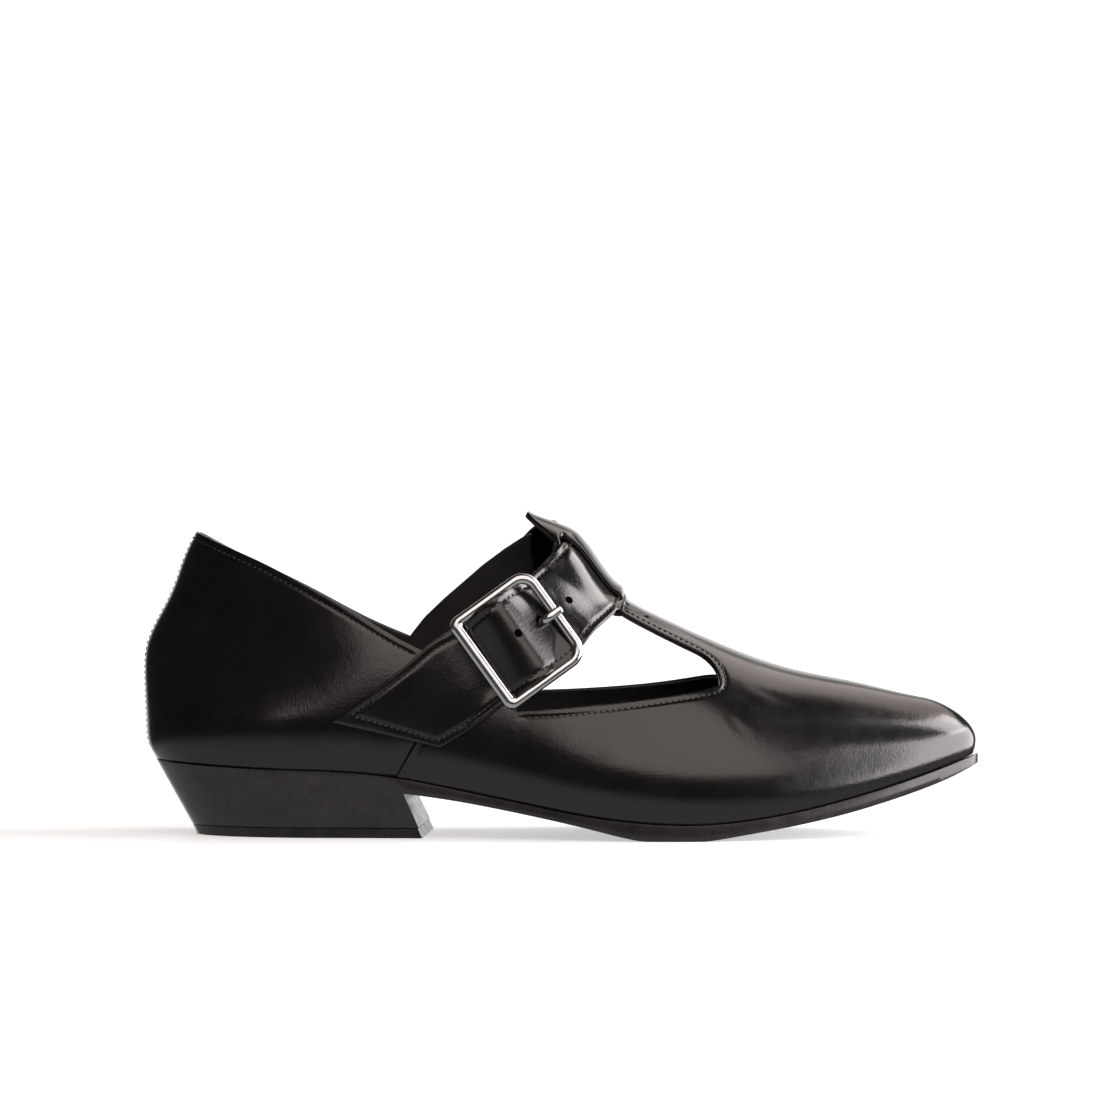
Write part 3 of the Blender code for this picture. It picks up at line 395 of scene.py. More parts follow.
def toe_point(t, m, side):
    """Point of the toe, in the upright plane through its edge and its ridge at t."""
    pivot = (toe_ridge_x(t), RIDGE_Y(toe_ridge_x(t)))
    edge = toe_edge(t, side)
    reach = math.dist(edge, pivot)
    towards = ((edge[0] - pivot[0]) / reach, (edge[1] - pivot[1]) / reach)
    foot = SOLE_TOP(edge[0]) + GAP
    bulge_z = foot + BULGE_RISE(edge[0])
    widest = reach + BULGE(edge[0])
    if m <= 1:
        rise = 1 - m * m
        across = widest * crown_reach(rise, FULLNESS(pivot[0]))
        z = bulge_z + (RIDGE_Z(pivot[0] + across * towards[0]) - bulge_z) * rise
    else:
        part = 1 - (m - 1)
        across = tuck(reach, widest, part)
        z = foot + (bulge_z - foot) * part
    return np.array((pivot[0] + across * towards[0], pivot[1] + across * towards[1], z))


def heel_point(t, z, side):
    """Point of the heel at a height, from its side (t 0) to the middle of the back (t 1)."""
    start = (X_HEEL, wall_y(X_HEEL, z, side))
    behind, ahead = HEEL_SLOPE_SPAN
    slope = (wall_y(X_HEEL + ahead, z, side) - wall_y(X_HEEL - behind, z, side)) / (ahead + behind)
    back = BACK_X(z)
    depth = HEEL_ROUND * (X_HEEL - back)
    first = (start[0] - depth, start[1] - depth * slope)
    second = (back, HEEL_ROUND * start[1])
    x, y = bezier(start, first, second, (back, 0.0), t)
    return np.array((x, y, z))


# Meshes

ROUND_SEGMENTS = 3
ROUND_FROM_DEGREES = 38
ROUNDED_SHARP_DEGREES = 50
CUT_SHARP_DEGREES = 45
# Rims: depth through the edge, part of the rim's reach
ROUND_RIM = ((0.1, 0.6), (0.3, 0.92), (0.5, 1.0), (0.7, 0.92), (0.9, 0.6))
TWO_LAYER_RIM = (
    (0.05, 0.55), (0.18, 0.95), (0.38, 1.0), (0.48, 0.45), (0.54, 0.45), (0.62, 1.0), (0.84, 0.9),
    (0.96, 0.5),
)


class Sheet:
    """Points and faces of an open surface, with its thickness at each point."""

    def __init__(self):
        self.points = []
        self.thick = []
        self.faces = []

    def add(self, point, thick=WALL):
        self.points.append(np.asarray(point, float))
        self.thick.append(thick)
        return len(self.points) - 1

    def grid(self, rows, side=1):
        """Faces over rows of equal length, facing outwards on their side. Collapsed ones are left out."""
        for pair in zip(rows, rows[1:]):
            first, second = pair[::side]
            for i in range(len(first) - 1):
                face = list(dict.fromkeys((first[i], second[i], second[i + 1], first[i + 1])))
                if len(face) > 2:
                    self.faces.append(face)


def sheet_normals(points, faces):
    """Normals at the points of a surface."""
    quads = np.array([face if len(face) == 4 else face + face[-1:] for face in faces])
    corners = points[quads]
    areas = np.cross(corners[:, 2] - corners[:, 0], corners[:, 3] - corners[:, 1])
    total = np.zeros_like(points)
    for k in range(4):
        np.add.at(total, quads[:, k], areas)
    return unit(total)


def thicken(points, faces, thick, rim, profile=ROUND_RIM):
    """Closed solid of a sheet, grown inwards. Its edges are rounded and stand out by the rim."""
    count = len(points)
    normals = sheet_normals(points, faces)
    thick = np.broadcast_to(thick, count)
    edges = set()
    for face in faces:
        edges.update(zip(face, face[1:] + face[:1]))
    after = {a: b for a, b in edges if (b, a) not in edges}
    before = {b: a for a, b in after.items()}
    ids = sorted(after)
    run = points[[after[i] for i in ids]] - points[[before[i] for i in ids]]
    out = unit(np.cross(run, normals[ids]))
    parts = [points, points - normals * thick[:, None]]
    rows = [dict(zip(ids, ids))]
    for k, (depth, reach) in enumerate(profile):
        parts.append(points[ids] - normals[ids] * (thick[ids] * depth)[:, None] + out * rim * reach)
        rows.append({index: 2 * count + k * len(ids) + i for i, index in enumerate(ids)})
    rows.append({index: index + count for index in ids})
    solid = list(faces) + [[index + count for index in reversed(face)] for face in faces]
    for a, b in after.items():
        for first, second in zip(rows, rows[1:]):
            solid.append([first[b], first[a], second[a], second[b]])
    return np.concatenate(parts), solid


def loft(rings, closed=False):
    """Solid through rings of equal point count, with flat ends, or closed on itself."""
    count = len(rings[0])
    total = len(rings)
    points = np.concatenate([np.asarray(ring, float) for ring in rings])
    faces = [] if closed else [list(range(count))[::-1], list(range(len(points) - count, len(points)))]
    for i in range(total if closed else total - 1):
        nxt = (i + 1) % total
        for k in range(count):
            after = (k + 1) % count
            faces.append([i * count + k, i * count + after, nxt * count + after, nxt * count + k])
    return points, faces


def ring_round(middle, first, second, count):
    """Points of a circle round a middle, from two radii that are square to each other."""
    return [middle + first * math.cos(angle) + second * math.sin(angle) for angle in circle(count)]


def add_object(name, data):
    """A new object in the scene."""
    obj = bpy.data.objects.new(name, data)
    bpy.context.scene.collection.objects.link(obj)
    return obj


def make_mesh(name, points, faces, material):
    """Smooth-shaded mesh object from points in millimetres."""
    mesh = bpy.data.meshes.new(name)
    placed = (np.asarray(points) - (X_MIDDLE, Y_MIDDLE, 0.0)) * MM
    mesh.from_pydata(placed.tolist(), [], [list(map(int, face)) for face in faces])
    mesh.materials.append(material)
    mesh.shade_smooth()
    return add_object(name, mesh)


def make_piece(name, points, faces, material, node):
    """A piece of the shoe that stands for a node of the frame: it is attached to the root, and the node's
    imported part is hidden.
    """
    obj = make_mesh(name, points, faces, material)
    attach(obj, "root")
    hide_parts(node)
    return obj


def bake(obj, sharp_degrees):
    """Applies an object's modifiers, and keeps the edges sharper than an angle crisp."""
    graph = bpy.context.evaluated_depsgraph_get()
    mesh = bpy.data.meshes.new_from_object(obj.evaluated_get(graph))
    obj.modifiers.clear()
    obj.data = mesh
    mesh.shade_smooth()
    mesh.set_sharp_from_angle(angle=math.radians(sharp_degrees))


def combine(target, operation, helpers, sharp_degrees=CUT_SHARP_DEGREES):
    """Boolean of a target with helper objects, which are removed."""
    for helper in helpers:
        modifier = target.modifiers.new(helper.name, "BOOLEAN")
        modifier.operation = operation
        modifier.solver = "EXACT"
        modifier.material_mode = "TRANSFER"
        modifier.object = helper
    bake(target, sharp_degrees)
    for helper in helpers:
        bpy.data.objects.remove(helper)


def round_edges(obj, width):
    """Rounds the sharp edges of a solid."""
    modifier = obj.modifiers.new("round", "BEVEL")
    modifier.width = width * MM
    modifier.segments = ROUND_SEGMENTS
    modifier.limit_method = "ANGLE"
    modifier.angle_limit = math.radians(ROUND_FROM_DEGREES)
    bake(obj, ROUNDED_SHARP_DEGREES)


# Upper

STEP_X = 1.6
LOW_RISE = 20.0
LOW_PART = 0.55
LOW_RISES = (0, 0.25, 0.6, 1.1, 1.7, 2.5, 3.5, 4.7, 6.1, 7.7, 9.5, 11.5, 13.5, 15.5, 17.7, 20.0)
MIDDLE_ROWS = 14
EDGE_DROPS = (4.4, 3.7, 3.2, 2.8, 2.5, 2.2, 1.9, 1.6, 1.25, 0.85, 0.45, 0.0)
EDGE_FULL_HEIGHT = 26.0
MARGIN_PARTS = (1.0, 0.94, 0.88, 0.82, 0.76, 0.7, 0.64, 0.57, 0.48, 0.38, 0.26, 0.13, 0.0)
MIDDLE_PARTS = (1.0, 0.88, 0.76, 0.64, 0.52, 0.4, 0.27, 0.13)
MIDDLE_SHARE = 0.6
TOE_STEPS = 40
HEEL_T = tuple(np.linspace(0.04, 0.88, 22)) + tuple(np.linspace(0.9, 0.99, 10))
BACK_T = 1.0
HEEL_FOOT_Z = 23.0
TOPLINE_ROUNDS = 4
LEATHER_PART = 0.6
LINING_PART = 0.37
UPPER_RIM = 0.28
LINING_RIM = 0.1

# Places of the wall's columns and the T-bar's rows along the shoe
NEAR_THROAT = (0.25, 0.55, 0.95, 1.4, 1.75, 2.1, 2.5, 3.0, 3.7, 4.6, 5.7, 7.0)
NEAR_SEAM_X = (89.4, 89.2, 89.05, 88.9, 88.75, 88.6, 88.3, 87.7, 86.8)
BEHIND_SEAM_X = 85.6
TAB_RUNS = {
    # side: x where a run starts, step up to the next run
    -1: ((TAB_END_X[-1], 0.45), (114.5, 1.0), (NOTCH_X[-1], STEP_X)),
    1: ((TAB_END_X[1], 0.2), (122.6, 1.1), (NOTCH_X[1], STEP_X)),
}
BAR_RUNS = (
    # x where a run starts, step up to the next run
    (174.4, 1.0), (156.0, 0.4), (SLIT_X[1], 0.4), (148.0, 0.9), (133.0, 0.4), (SLIT_X[0], 0.5),
    (121.0, STEP_X),
)

# Seam of vamp and quarter
SEAM_X = 88.6
SEAM_LEAN = 0.52
SEAM_LEAN_RISE = 14.0
SEAM_LEAN_SPREAD = 13.0
SEAM_STEP = 0.6
SEAM_CUT = 0.5
# The vamp's folded edge: height, distance ahead of the seam, spread
SEAM_FOLD = (0.14, 0.8, 0.5)
SEAM_RUN_OUT = 5.0
SEAM_END_BEHIND = 25.0
SEAM_TOP = 52.0
SEAM_TOP_FADE = 10.0


def run_stations(runs):
    """Places of several runs one after the other, up to the start of the last."""
    return [x for (start, step), (end, _) in zip(runs, runs[1:]) for x in stations(start, end, step)]


FRONT_X = stations(X_TOE, X_THROAT + NEAR_THROAT[-1], STEP_X)
FRONT_X += [X_THROAT + distance for distance in NEAR_THROAT[::-1]] + [X_THROAT]
OPEN_FIRST_X = [X_THROAT - distance for distance in NEAR_THROAT]
COLLAR_X = {
    -1: list(NEAR_SEAM_X) + stations(BEHIND_SEAM_X, X_HEEL, STEP_X),
    1: stations(NOTCH_X[1], X_HEEL, STEP_X),
}
BAR_X = OPEN_FIRST_X + run_stations(BAR_RUNS) + [BAR_RUNS[-1][0]]
# Parts of the way from the ridge to the line of the throat, for the rows of the vamp's crown
CROWN_PARTS = [MIDDLE_SHARE + (1 - MIDDLE_SHARE) * part for part in MARGIN_PARTS[1:]]
CROWN_PARTS += [MIDDLE_SHARE * part for part in MIDDLE_PARTS[1:]]


def throat_curve(x):
    """Rounding of the cut-outs' front end: 0 at the throat and 1 behind it."""
    near = min(1.0, (X_THROAT - x) / THROAT_ROUND)
    return math.sqrt(1 - (1 - near) ** 2)


def topline(x, side):
    """Height of the wall's top edge behind the throat."""
    if x <= NOTCH_X[side]:
        return COLLAR[side](x)
    if x <= TAB_END_X[side]:
        return TAB[side](x)
    throat_z = crown_height(X_THROAT, side, THROAT_HEIGHT)
    return throat_z + (VAMP[side](x) - throat_z) * throat_curve(x)


def seam_shift(x, z, foot):
    """How far a wall column leans back below, so that one of them is the seam of vamp and quarter."""
    near = math.exp(-(((x - SEAM_X) / SEAM_LEAN_SPREAD) ** 2))
    return -SEAM_LEAN * near * max(0.0, SEAM_LEAN_RISE - (z - foot))


def seam_step(x, z, side):
    """How far the surface sinks at the seam, where the quarter goes under the vamp's folded edge."""
    if side > 0 or x < SEAM_X - SEAM_END_BEHIND:
        return 0.0
    fade = min(1.0, max(0.0, (SEAM_TOP - z) / SEAM_TOP_FADE))
    ahead = x - SEAM_X
    if ahead <= TINY:
        return SEAM_STEP * fade * math.exp(ahead / SEAM_RUN_OUT)
    height, middle, spread = SEAM_FOLD
    fold = height * math.exp(-(((ahead - middle) / spread) ** 2))
    return fade * (SEAM_STEP * max(0.0, 1 - ahead / SEAM_CUT) ** 2 - fold)


def wall_rises(height):
    """Rises of the wall's rows above its foot, close together at the foot and at the top edge."""
    low = min(LOW_RISE, LOW_PART * height)
    edge = min(1.0, height / EDGE_FULL_HEIGHT)
    high = height - EDGE_DROPS[0] * edge
    rises = [low * rise / LOW_RISE for rise in LOW_RISES]
    rises += [low + (high - low) * i / MIDDLE_ROWS for i in range(1, MIDDLE_ROWS)]
    return rises + [height - drop * edge for drop in EDGE_DROPS]


def wall_column(sheet, x, side, top):
    """Points of the wall at x, from its foot to the height of its top."""
    foot = SOLE_TOP(x) + GAP
    column = []
    for rise in wall_rises(top - foot):
        at = x + seam_shift(x, foot + rise, foot)
        z = min(SOLE_TOP(at) + GAP + rise, top)
        column.append(sheet.add((at, wall_y(at, z, side) - side * seam_step(x, z, side), z)))
    return column


def toe_column(sheet, t, side):
    """Points of the toe at t, from its foot up to the line that runs out from the throat."""
    edge = toe_edge(t, side)
    bulge = BULGE_RISE(edge[0])
    height = bulge + (RIDGE_Z(toe_ridge_x(t)) - SOLE_TOP(edge[0]) - GAP - bulge) * THROAT_HEIGHT
    column = []
    for rise in wall_rises(height):
        if rise < bulge:
            m = 2 - rise / bulge
        else:
            m = math.sqrt(1 - THROAT_HEIGHT * (rise - bulge) / (height - bulge))
        column.append(sheet.add(toe_point(t, m, side)))
    return column


def heel_column(sheet, t, side):
    """Points of the heel at t, from its foot to its topline."""
    foot = SOLE_TOP(heel_point(t, HEEL_FOOT_Z, side)[0]) + GAP
    top = COLLAR[side](X_HEEL)
    for _ in range(TOPLINE_ROUNDS):
        top = COLLAR[side](heel_point(t, top, side)[0])
    return [sheet.add(heel_point(t, foot + rise, side)) for rise in wall_rises(top - foot)]


def crown_row(sheet, wall, point_at, top):
    """Row over the crown, from the top of a wall column to a point of the ridge."""
    return [wall[-1]] + [sheet.add(point_at(THROAT_M * part)) for part in CROWN_PARTS] + [top]


def upper_sheet():
    """Outer surface of the upper. Returns it with the wall columns and the T-bar's rows of each side."""
    sheet = Sheet()
    toe_steps = [i / TOE_STEPS for i in range(TOE_STEPS, 0, -1)]
    tip = toe_column(sheet, 1.0, -1)
    toe_ridge = [sheet.add(last_point(toe_ridge_x(t), 0.0)) for t in toe_steps]
    ridge = [sheet.add(last_point(x, 0.0)) for x in FRONT_X]
    tip_crown = crown_row(sheet, tip, lambda m: toe_point(1.0, m, -1), toe_ridge[0])
    back = heel_column(sheet, BACK_T, -1)
    walls = {}
    crowns = {}
    for side in SIDES:
        columns = [tip]
        crown = [tip_crown]
        for t, top in zip(toe_steps[1:], toe_ridge[1:]):
            columns.append(toe_column(sheet, t, side))
            crown.append(crown_row(sheet, columns[-1], lambda m: toe_point(t, m, side), top))
        for x, top in zip(FRONT_X, ridge):
            columns.append(wall_column(sheet, x, side, crown_height(x, side, THROAT_HEIGHT)))
            crown.append(crown_row(sheet, columns[-1], lambda m: last_point(x, side * m), top))
        open_x = OPEN_FIRST_X + stations(OPEN_FIRST_X[-1] - STEP_X, TAB_END_X[side], STEP_X)
        for x in open_x + run_stations(TAB_RUNS[side]) + COLLAR_X[side] + [X_HEEL]:
            columns.append(wall_column(sheet, x, side, topline(x, side)))
        walls[side] = columns + [heel_column(sheet, t, side) for t in HEEL_T] + [back]
        crowns[side] = crown
        sheet.grid(walls[side], side)
        sheet.grid(crown, side)
    return sheet, walls, add_bar(sheet, crowns)


def add_bar(sheet, crowns):
    """Rows of the T-bar. Two slits part its margins from its middle, which passes over the strap."""
    margin_end = len(MARGIN_PARTS)
    rows = {side: [crowns[side][-1]] for side in SIDES}
    starts = {side: [crowns[side][-1][margin_end - 1]] for side in SIDES}
    for x in BAR_X:
        thick = BAR_OVER if SLIT_X[0] < x < SLIT_X[1] else WALL
        top = sheet.add(bar_point(x, 0.0, BAR_MIDDLE_LIFT(x)), thick)
        for side in SIDES:
            row, start = bar_row(sheet, x, side, thick)
            rows[side].append(row + [top])
            starts[side].append(start)
    for side in SIDES:
        sheet.grid([row[:margin_end] for row in rows[side]], side)
        sheet.grid([[start] + row[margin_end:] for start, row in zip(starts[side], rows[side])], side)
    return rows


def bar_row(sheet, x, side, thick):
    """Points of half a row of the T-bar, without its ridge, and the point where its middle starts."""
    throat_y = abs(last_point(X_THROAT, side * THROAT_M)[1] - RIDGE_Y(X_THROAT))
    half = throat_y + (BAR_WIDTH(x) - throat_y) * throat_curve(x)
    slit = slit_y(x, half)
    margin = [slit + (half - slit) * part for part in MARGIN_PARTS]
    outer = [sheet.add(bar_point(x, side * y, BAR_MARGIN_LIFT(x))) for y in margin]
    start = outer[-1]
    if SLIT_X[0] < x < SLIT_X[1]:
        start = sheet.add(bar_point(x, side * slit, BAR_MIDDLE_LIFT(x)), thick)
    inner = [bar_point(x, side * slit * part, BAR_MIDDLE_LIFT(x)) for part in MIDDLE_PARTS[1:]]
    return outer + [sheet.add(point, thick) for point in inner], start


def slit_y(x, half):
    """Distance of the slits' line from the ridge. In front of the slits it fades into the crown's rows."""
    start, end = SLIT_FADE_X
    if x < start:
        return min(SLIT_Y, SLIT_PART * half)
    return half * (SLIT_PART - SLIT_PART_FALL * min(1.0, (x - start) / (end - start)))


def bar_point(x, y_from_ridge, lift):
    """Point of the T-bar at a distance from the ridge, lifted off the last."""
    side = -1 if y_from_ridge < 0 else 1
    _, _, _, widest, _, _, fullness = section(x, side)
    m = side * math.sqrt(max(0.0, 1 - crown_rise(abs(y_from_ridge) / widest, fullness)))
    return last_point(x, m) + lift * last_normal(x, m)


# Lines of stitches

PATH_STEP = 0.3
STITCH_PITCH = 1.9
STITCH_PART = 0.74
STITCH_RADIUS = 0.27
STITCH_SIDES = 6
STITCH_ROWS = (
    # height over the surface, part of the radius
    (-0.2, 0.6), (0.1, 1.0), (0.17, 1.0), (0.1, 1.0), (-0.2, 0.6),
)
STITCH_INSET = 2.0
TROUGH_DEPTH = 0.2
TROUGH_WIDTH = 0.6

# Where the upper's stitch lines start and end
NOTCH_CLEAR = 1.4
TAB_START = 0.6
TAB_STITCHED_TO = {-1: 109.0, 1: 118.0}
CUTOUT_START = 3.0
THROAT_CLEAR = 0.1
SLIT_CLEAR = 1.2
SEAM_STITCH_AHEAD = 1.5
SEAM_STITCH_ROW = 20
SEAM_STITCH_ROWS = slice(4, 30)
BACK_STITCH_COLUMN = -5
BACK_STITCH_ROWS = slice(6, -8)


def beside_edge(points, normals, edge, distance):
    """Path beside an edge of the sheet. The edge runs with the surface on its left, seen from outside."""
    path = points[edge]
    run = np.gradient(path, axis=0)
    return list(path + distance * unit(np.cross(normals[edge], run)))


def even_path(path, soften=3):
    """A path with even steps, its corners softened."""
    path = np.array(path)
    for _ in range(soften):
        path[1:-1] = (path[:-2] + 2 * path[1:-1] + path[2:]) / 4
    gone = gone_along(path)
    return on_path(path, gone, np.linspace(0, gone[-1], max(2, round(gone[-1] / PATH_STEP) + 1)))


def edge_between(points, columns, low, high):
    """Top points of the columns whose top is between two places along the shoe."""
    return [one[-1] for one in columns if low <= points[one[-1]][0] <= high]


def cutout_edge(points, walls, bar, side):
    """Edge of the vamp beside the cut-out, round the throat and along the T-bar."""
    lower = edge_between(points, walls, TAB_END_X[side] + CUTOUT_START, X_THROAT - THROAT_CLEAR)
    margin = [row[: len(MARGIN_PARTS)][::-1] for row in bar[1:]]
    upper = edge_between(points, margin, SLIT_X[1] + SLIT_CLEAR, X_THROAT - THROAT_CLEAR)
    return lower[::-1] + [bar[0][0]] + upper


def upper_paths(points, normals, walls, bars):
    """Stitch lines of the upper, as paths near its surface."""
    collar = {side: edge_between(points, walls[side], 0, NOTCH_X[side] - NOTCH_CLEAR) for side in SIDES}
    edges = [collar[-1] + collar[1][::-1][1:]]
    for side in SIDES:
        tab = edge_between(points, walls[side], NOTCH_X[side] + TAB_START, TAB_STITCHED_TO[side])
        edges.append(tab[::-side])
        edges.append(cutout_edge(points, walls[side], bars[side], side)[::side])
    paths = [beside_edge(points, normals, edge, STITCH_INSET) for edge in edges]
    seam_x = SEAM_X + SEAM_STITCH_AHEAD
    seam = min(walls[-1], key=lambda one: abs(points[one[SEAM_STITCH_ROW]][0] - seam_x))
    paths.append(points[seam[SEAM_STITCH_ROWS]])
    paths += [points[walls[side][BACK_STITCH_COLUMN][BACK_STITCH_ROWS]] for side in SIDES]
    return [even_path(path) for path in paths]


def troughs(points, paths):
    """How far a surface is drawn in along its stitch lines."""
    line = np.concatenate(paths)
    tree = kdtree.KDTree(len(line))
    for i, point in enumerate(line):
        tree.insert(point, i)
    tree.balance()
    away = np.array([tree.find(point)[2] for point in points])
    return TROUGH_DEPTH * np.exp(-((away / TROUGH_WIDTH) ** 2))


def stitch_run(path, surface):
    """Solids of a row of stitches that dip into a surface at both ends."""
    gone = gone_along(path)
    count = max(1, int(gone[-1] / STITCH_PITCH))
    pitch = gone[-1] / count
    solids = []
    for i in range(count):
        start = pitch * (i + (1 - STITCH_PART) / 2)
        centres = on_path(path, gone, start + pitch * STITCH_PART * np.linspace(0, 1, len(STITCH_ROWS)))
        run = unit(centres[-1] - centres[0])
        rings = []
        for centre, (height, width) in zip(centres, STITCH_ROWS):
            place, normal, _, _ = surface.find_nearest(Vector(centre))
            radius = STITCH_RADIUS * width
            normal = np.array(normal)
            side = unit(np.cross(run, normal))
            middle = np.array(place) + normal * height
            rings.append(ring_round(middle, side * radius, normal * radius, STITCH_SIDES))
        solids.append(loft(rings))
    return solids


def make_stitches(name, paths, surface, material, node):
    """One piece with all the stitches of some paths."""
    points = []
    faces = []
    for path in paths:
        for solid, solid_faces in stitch_run(path, surface):
            faces += [[index + len(points) for index in face] for face in solid_faces]
            points += list(solid)
    make_piece(name, points, faces, material, node)


# Creases of the vamp: x and height of both ends on the lateral side, width, depth
CREASES = (
    (187.5, 46.0, 206.0, 36.5, 1.1, 0.13),
    (186.5, 42.5, 199.0, 34.5, 1.0, 0.11),
    (192.0, 48.0, 211.0, 40.0, 1.2, 0.11),
    (184.5, 40.0, 193.0, 31.5, 1.0, 0.09),
)
UNEVEN_DEPTH = 0.05
UNEVEN_SIZE = 16.0
# Groove of the back seam: depth, width
BACK_GROOVE = (0.3, 0.5)
BACK_GROOVE_X = 22.0
BACK_GROOVE_HEIGHTS = (26.0, 92.0)


def uneven(points, size):
    """Soft noise at each point, with forms of a size."""
    return np.array([noise.noise(Vector(point / size)) for point in points])


def crease(points, x0, z0, x1, z1, width, depth):
    """How far the leather sinks along one crease."""
    x, y, z = points.T
    run = np.array((x1 - x0, z1 - z0))
    along = ((x - x0) * run[0] + (z - z0) * run[1]) / (run @ run)
    away = np.abs((x - x0) * run[1] - (z - z0) * run[0]) / np.linalg.norm(run)
    fade = np.clip(along, 0, 1) * np.clip(1 - along, 0, 1) * 4
    return np.where(y < 0, depth * fade * np.exp(-((away / width) ** 2)), 0.0)


def relief(points, paths):
    """How far the upper's leather sinks: stitch troughs, back seam, creases and a slight unevenness."""
    sink = troughs(points, paths)
    x, y, z = points.T
    depth, width = BACK_GROOVE
    low, high = BACK_GROOVE_HEIGHTS
    at_back = (x < BACK_GROOVE_X) & (z > low) & (z < high)
    sink += np.where(at_back, depth * np.exp(-((y / width) ** 2)), 0.0)
    for row in CREASES:
        sink += crease(points, *row)
    return sink + UNEVEN_DEPTH * uneven(points, UNEVEN_SIZE)


def build_upper(leather, lining, thread):
    """Leather of the upper with rounded edges, its lining, and its stitches."""
    sheet, walls, bars = upper_sheet()
    points = np.array(sheet.points)
    thick = np.array(sheet.thick)
    normals = sheet_normals(points, sheet.faces)
    paths = upper_paths(points, normals, walls, bars)
    outer = points - normals * relief(points, paths)[:, None]
    solid = thicken(outer, sheet.faces, thick * LEATHER_PART, UPPER_RIM)
    make_piece("upper_leather", *solid, leather, "upper")
    inner = points - normals * (thick * (1 - LINING_PART))[:, None]
    solid = thicken(inner, sheet.faces, thick * LINING_PART, LINING_RIM)
    make_piece("upper_lining", *solid, lining, "upper")
    surface = BVHTree.FromPolygons(outer.tolist(), sheet.faces)
    make_stitches("upper_stitches", paths, surface, thread, "upper")


# Sole, top piece and insole

SOLE_EDGE = 0.8
SOLE_TUCK = 0.5
# Distances of the edge's upper and lower row from its top and its underside
SOLE_SHOULDERS = (1.2, 0.9)
SOLE_TOE_EDGE = 0.8
SOLE_TOE_X = (240.0, 265.0)
SOLE_ROUND = 0.45
SOLE_STEP_X = 2.5
SOLE_HEEL_STEPS = 24
SOLE_TOE_STEPS = 26
SOLE_SIDE_X = stations(X_HEEL + SOLE_STEP_X, HEEL_LAST_TOP_X, SOLE_STEP_X) + [HEEL_LAST_TOP_X]
BREAST_MIDDLE_X = 86.0
SOLE_FRONT_X = [BREAST_TOP_X, BREAST_MIDDLE_X] + stations(BREAST_FOOT_X, X_TOE, SOLE_STEP_X)
HEEL_EDGE_X = 20.0
HEEL_FOOT_WIDTH = 0.87
HEEL_PARTS = (0.0, 0.07, 0.3, 0.65, 1.0)
BREAST_PARTS = (0.2, 0.4, 0.6, 0.8)
BREAST_SKEW = 4.0
BREAST_FOOT_SKEW = 1.0
BREAST_HALF = 27.0
TOP_PIECE_INSET = 0.994
TOP_PIECE_DOWN = np.array((0.45, 0.0, -1.0))
TOP_PIECE_PARTS = (0.0, 0.5, 1.0)
TOP_PIECE_ROUND = 0.3
INSOLE_MARGIN = 2.7
INSOLE_THICK = 2.6
INSOLE_ROUND = 0.9
SLACK = 0.1


def edge_stations(side):
    """Points (x, y) of the upper's foot line from the back of the heel to the toe."""
    steps = [1 - i / SOLE_HEEL_STEPS for i in range(SOLE_HEEL_STEPS)]
    points = [tuple(heel_point(t, SOLE_TOP(HEEL_EDGE_X) + GAP, side)[:2]) for t in steps]
    points += [(x, side * EDGE_Y[side](x)) for x in [X_HEEL] + SOLE_SIDE_X + SOLE_FRONT_X]
    return points + [toe_edge(i / SOLE_TOE_STEPS, side) for i in range(SOLE_TOE_STEPS + 1)]


def offset(points, distance, side):
    """An edge moved outwards. Its first and last points stay on the middle line."""
    moved = []
    for i, (x, y) in enumerate(points):
        before = points[max(i - 1, 0)]
        after = points[min(i + 1, len(points) - 1)]
        run = (after[0] - before[0], after[1] - before[1])
        if i == 0:
            run = (0.0, side)
        if i == len(points) - 1:
            run = (0.0, -side)
        length = math.hypot(*run)
        moved.append((x - side * distance * run[1] / length, y + side * distance * run[0] / length))
    return moved


def ladder(lateral, medial):
    """Closed solid from columns of equal length down both sides, which share their first and last column."""
    count = len(lateral[0])
    ring = lateral + medial[-2:0:-1]
    points = [point for one in ring for point in one]
    total = len(ring)
    faces = []
    for k in range(total):
        after = (k + 1) % total
        for row in range(count - 1):
            faces.append([k * count + row, k * count + row + 1, after * count + row + 1, after * count + row])
    for row, turn in ((0, 1), (count - 1, -1)):
        for k in range(len(lateral) - 1):
            corners = (k, k + 1, (total - k - 1) % total, (total - k) % total)
            faces.append(list(dict.fromkeys(index * count + row for index in corners))[::turn])
    return points, faces


def skewed(y):
    """Part of the breast's skew at y: 0 on the lateral side and 1 on the medial one."""
    return (y + BREAST_HALF) / (2 * BREAST_HALF)


def heel_foot(x, y):
    """Point of the heel's underside below a point of the sole's edge."""
    lean = HEEL_LEAN + (BREAST_FOOT_X - HEEL_LAST_TOP_X - HEEL_LEAN) * x / HEEL_LAST_TOP_X
    return x + lean + BREAST_FOOT_SKEW * skewed(y) * (x / HEEL_LAST_TOP_X) ** 2, y * HEEL_FOOT_WIDTH


def heel_side(x, y):
    """Points down the heel's side, from the sole's top edge at (x, y)."""
    top = np.array((x, y, SOLE_TOP(x)))
    foot = np.array((*heel_foot(x, y), TOP_PIECE + GAP))
    return [tuple(top + (foot - top) * part) for part in HEEL_PARTS]


def sole_side(x, y, low_x, low_y):
    """Points down the sole's edge in front of the heel."""
    top = SOLE_TOP(x)
    under = max(0.0, SOLE_UNDER(x))
    if x <= BREAST_TOP_X:
        low_x += BREAST_SKEW * skewed(y)
    start, end = SOLE_TOE_X
    x += SOLE_TOE_EDGE * max(0.0, (x - start) / (end - start)) ** 2
    upper, lower = SOLE_SHOULDERS
    return [(x, y, z) for z in (top, top - upper, (top + under) / 2, under + lower)] + [(low_x, low_y, under)]


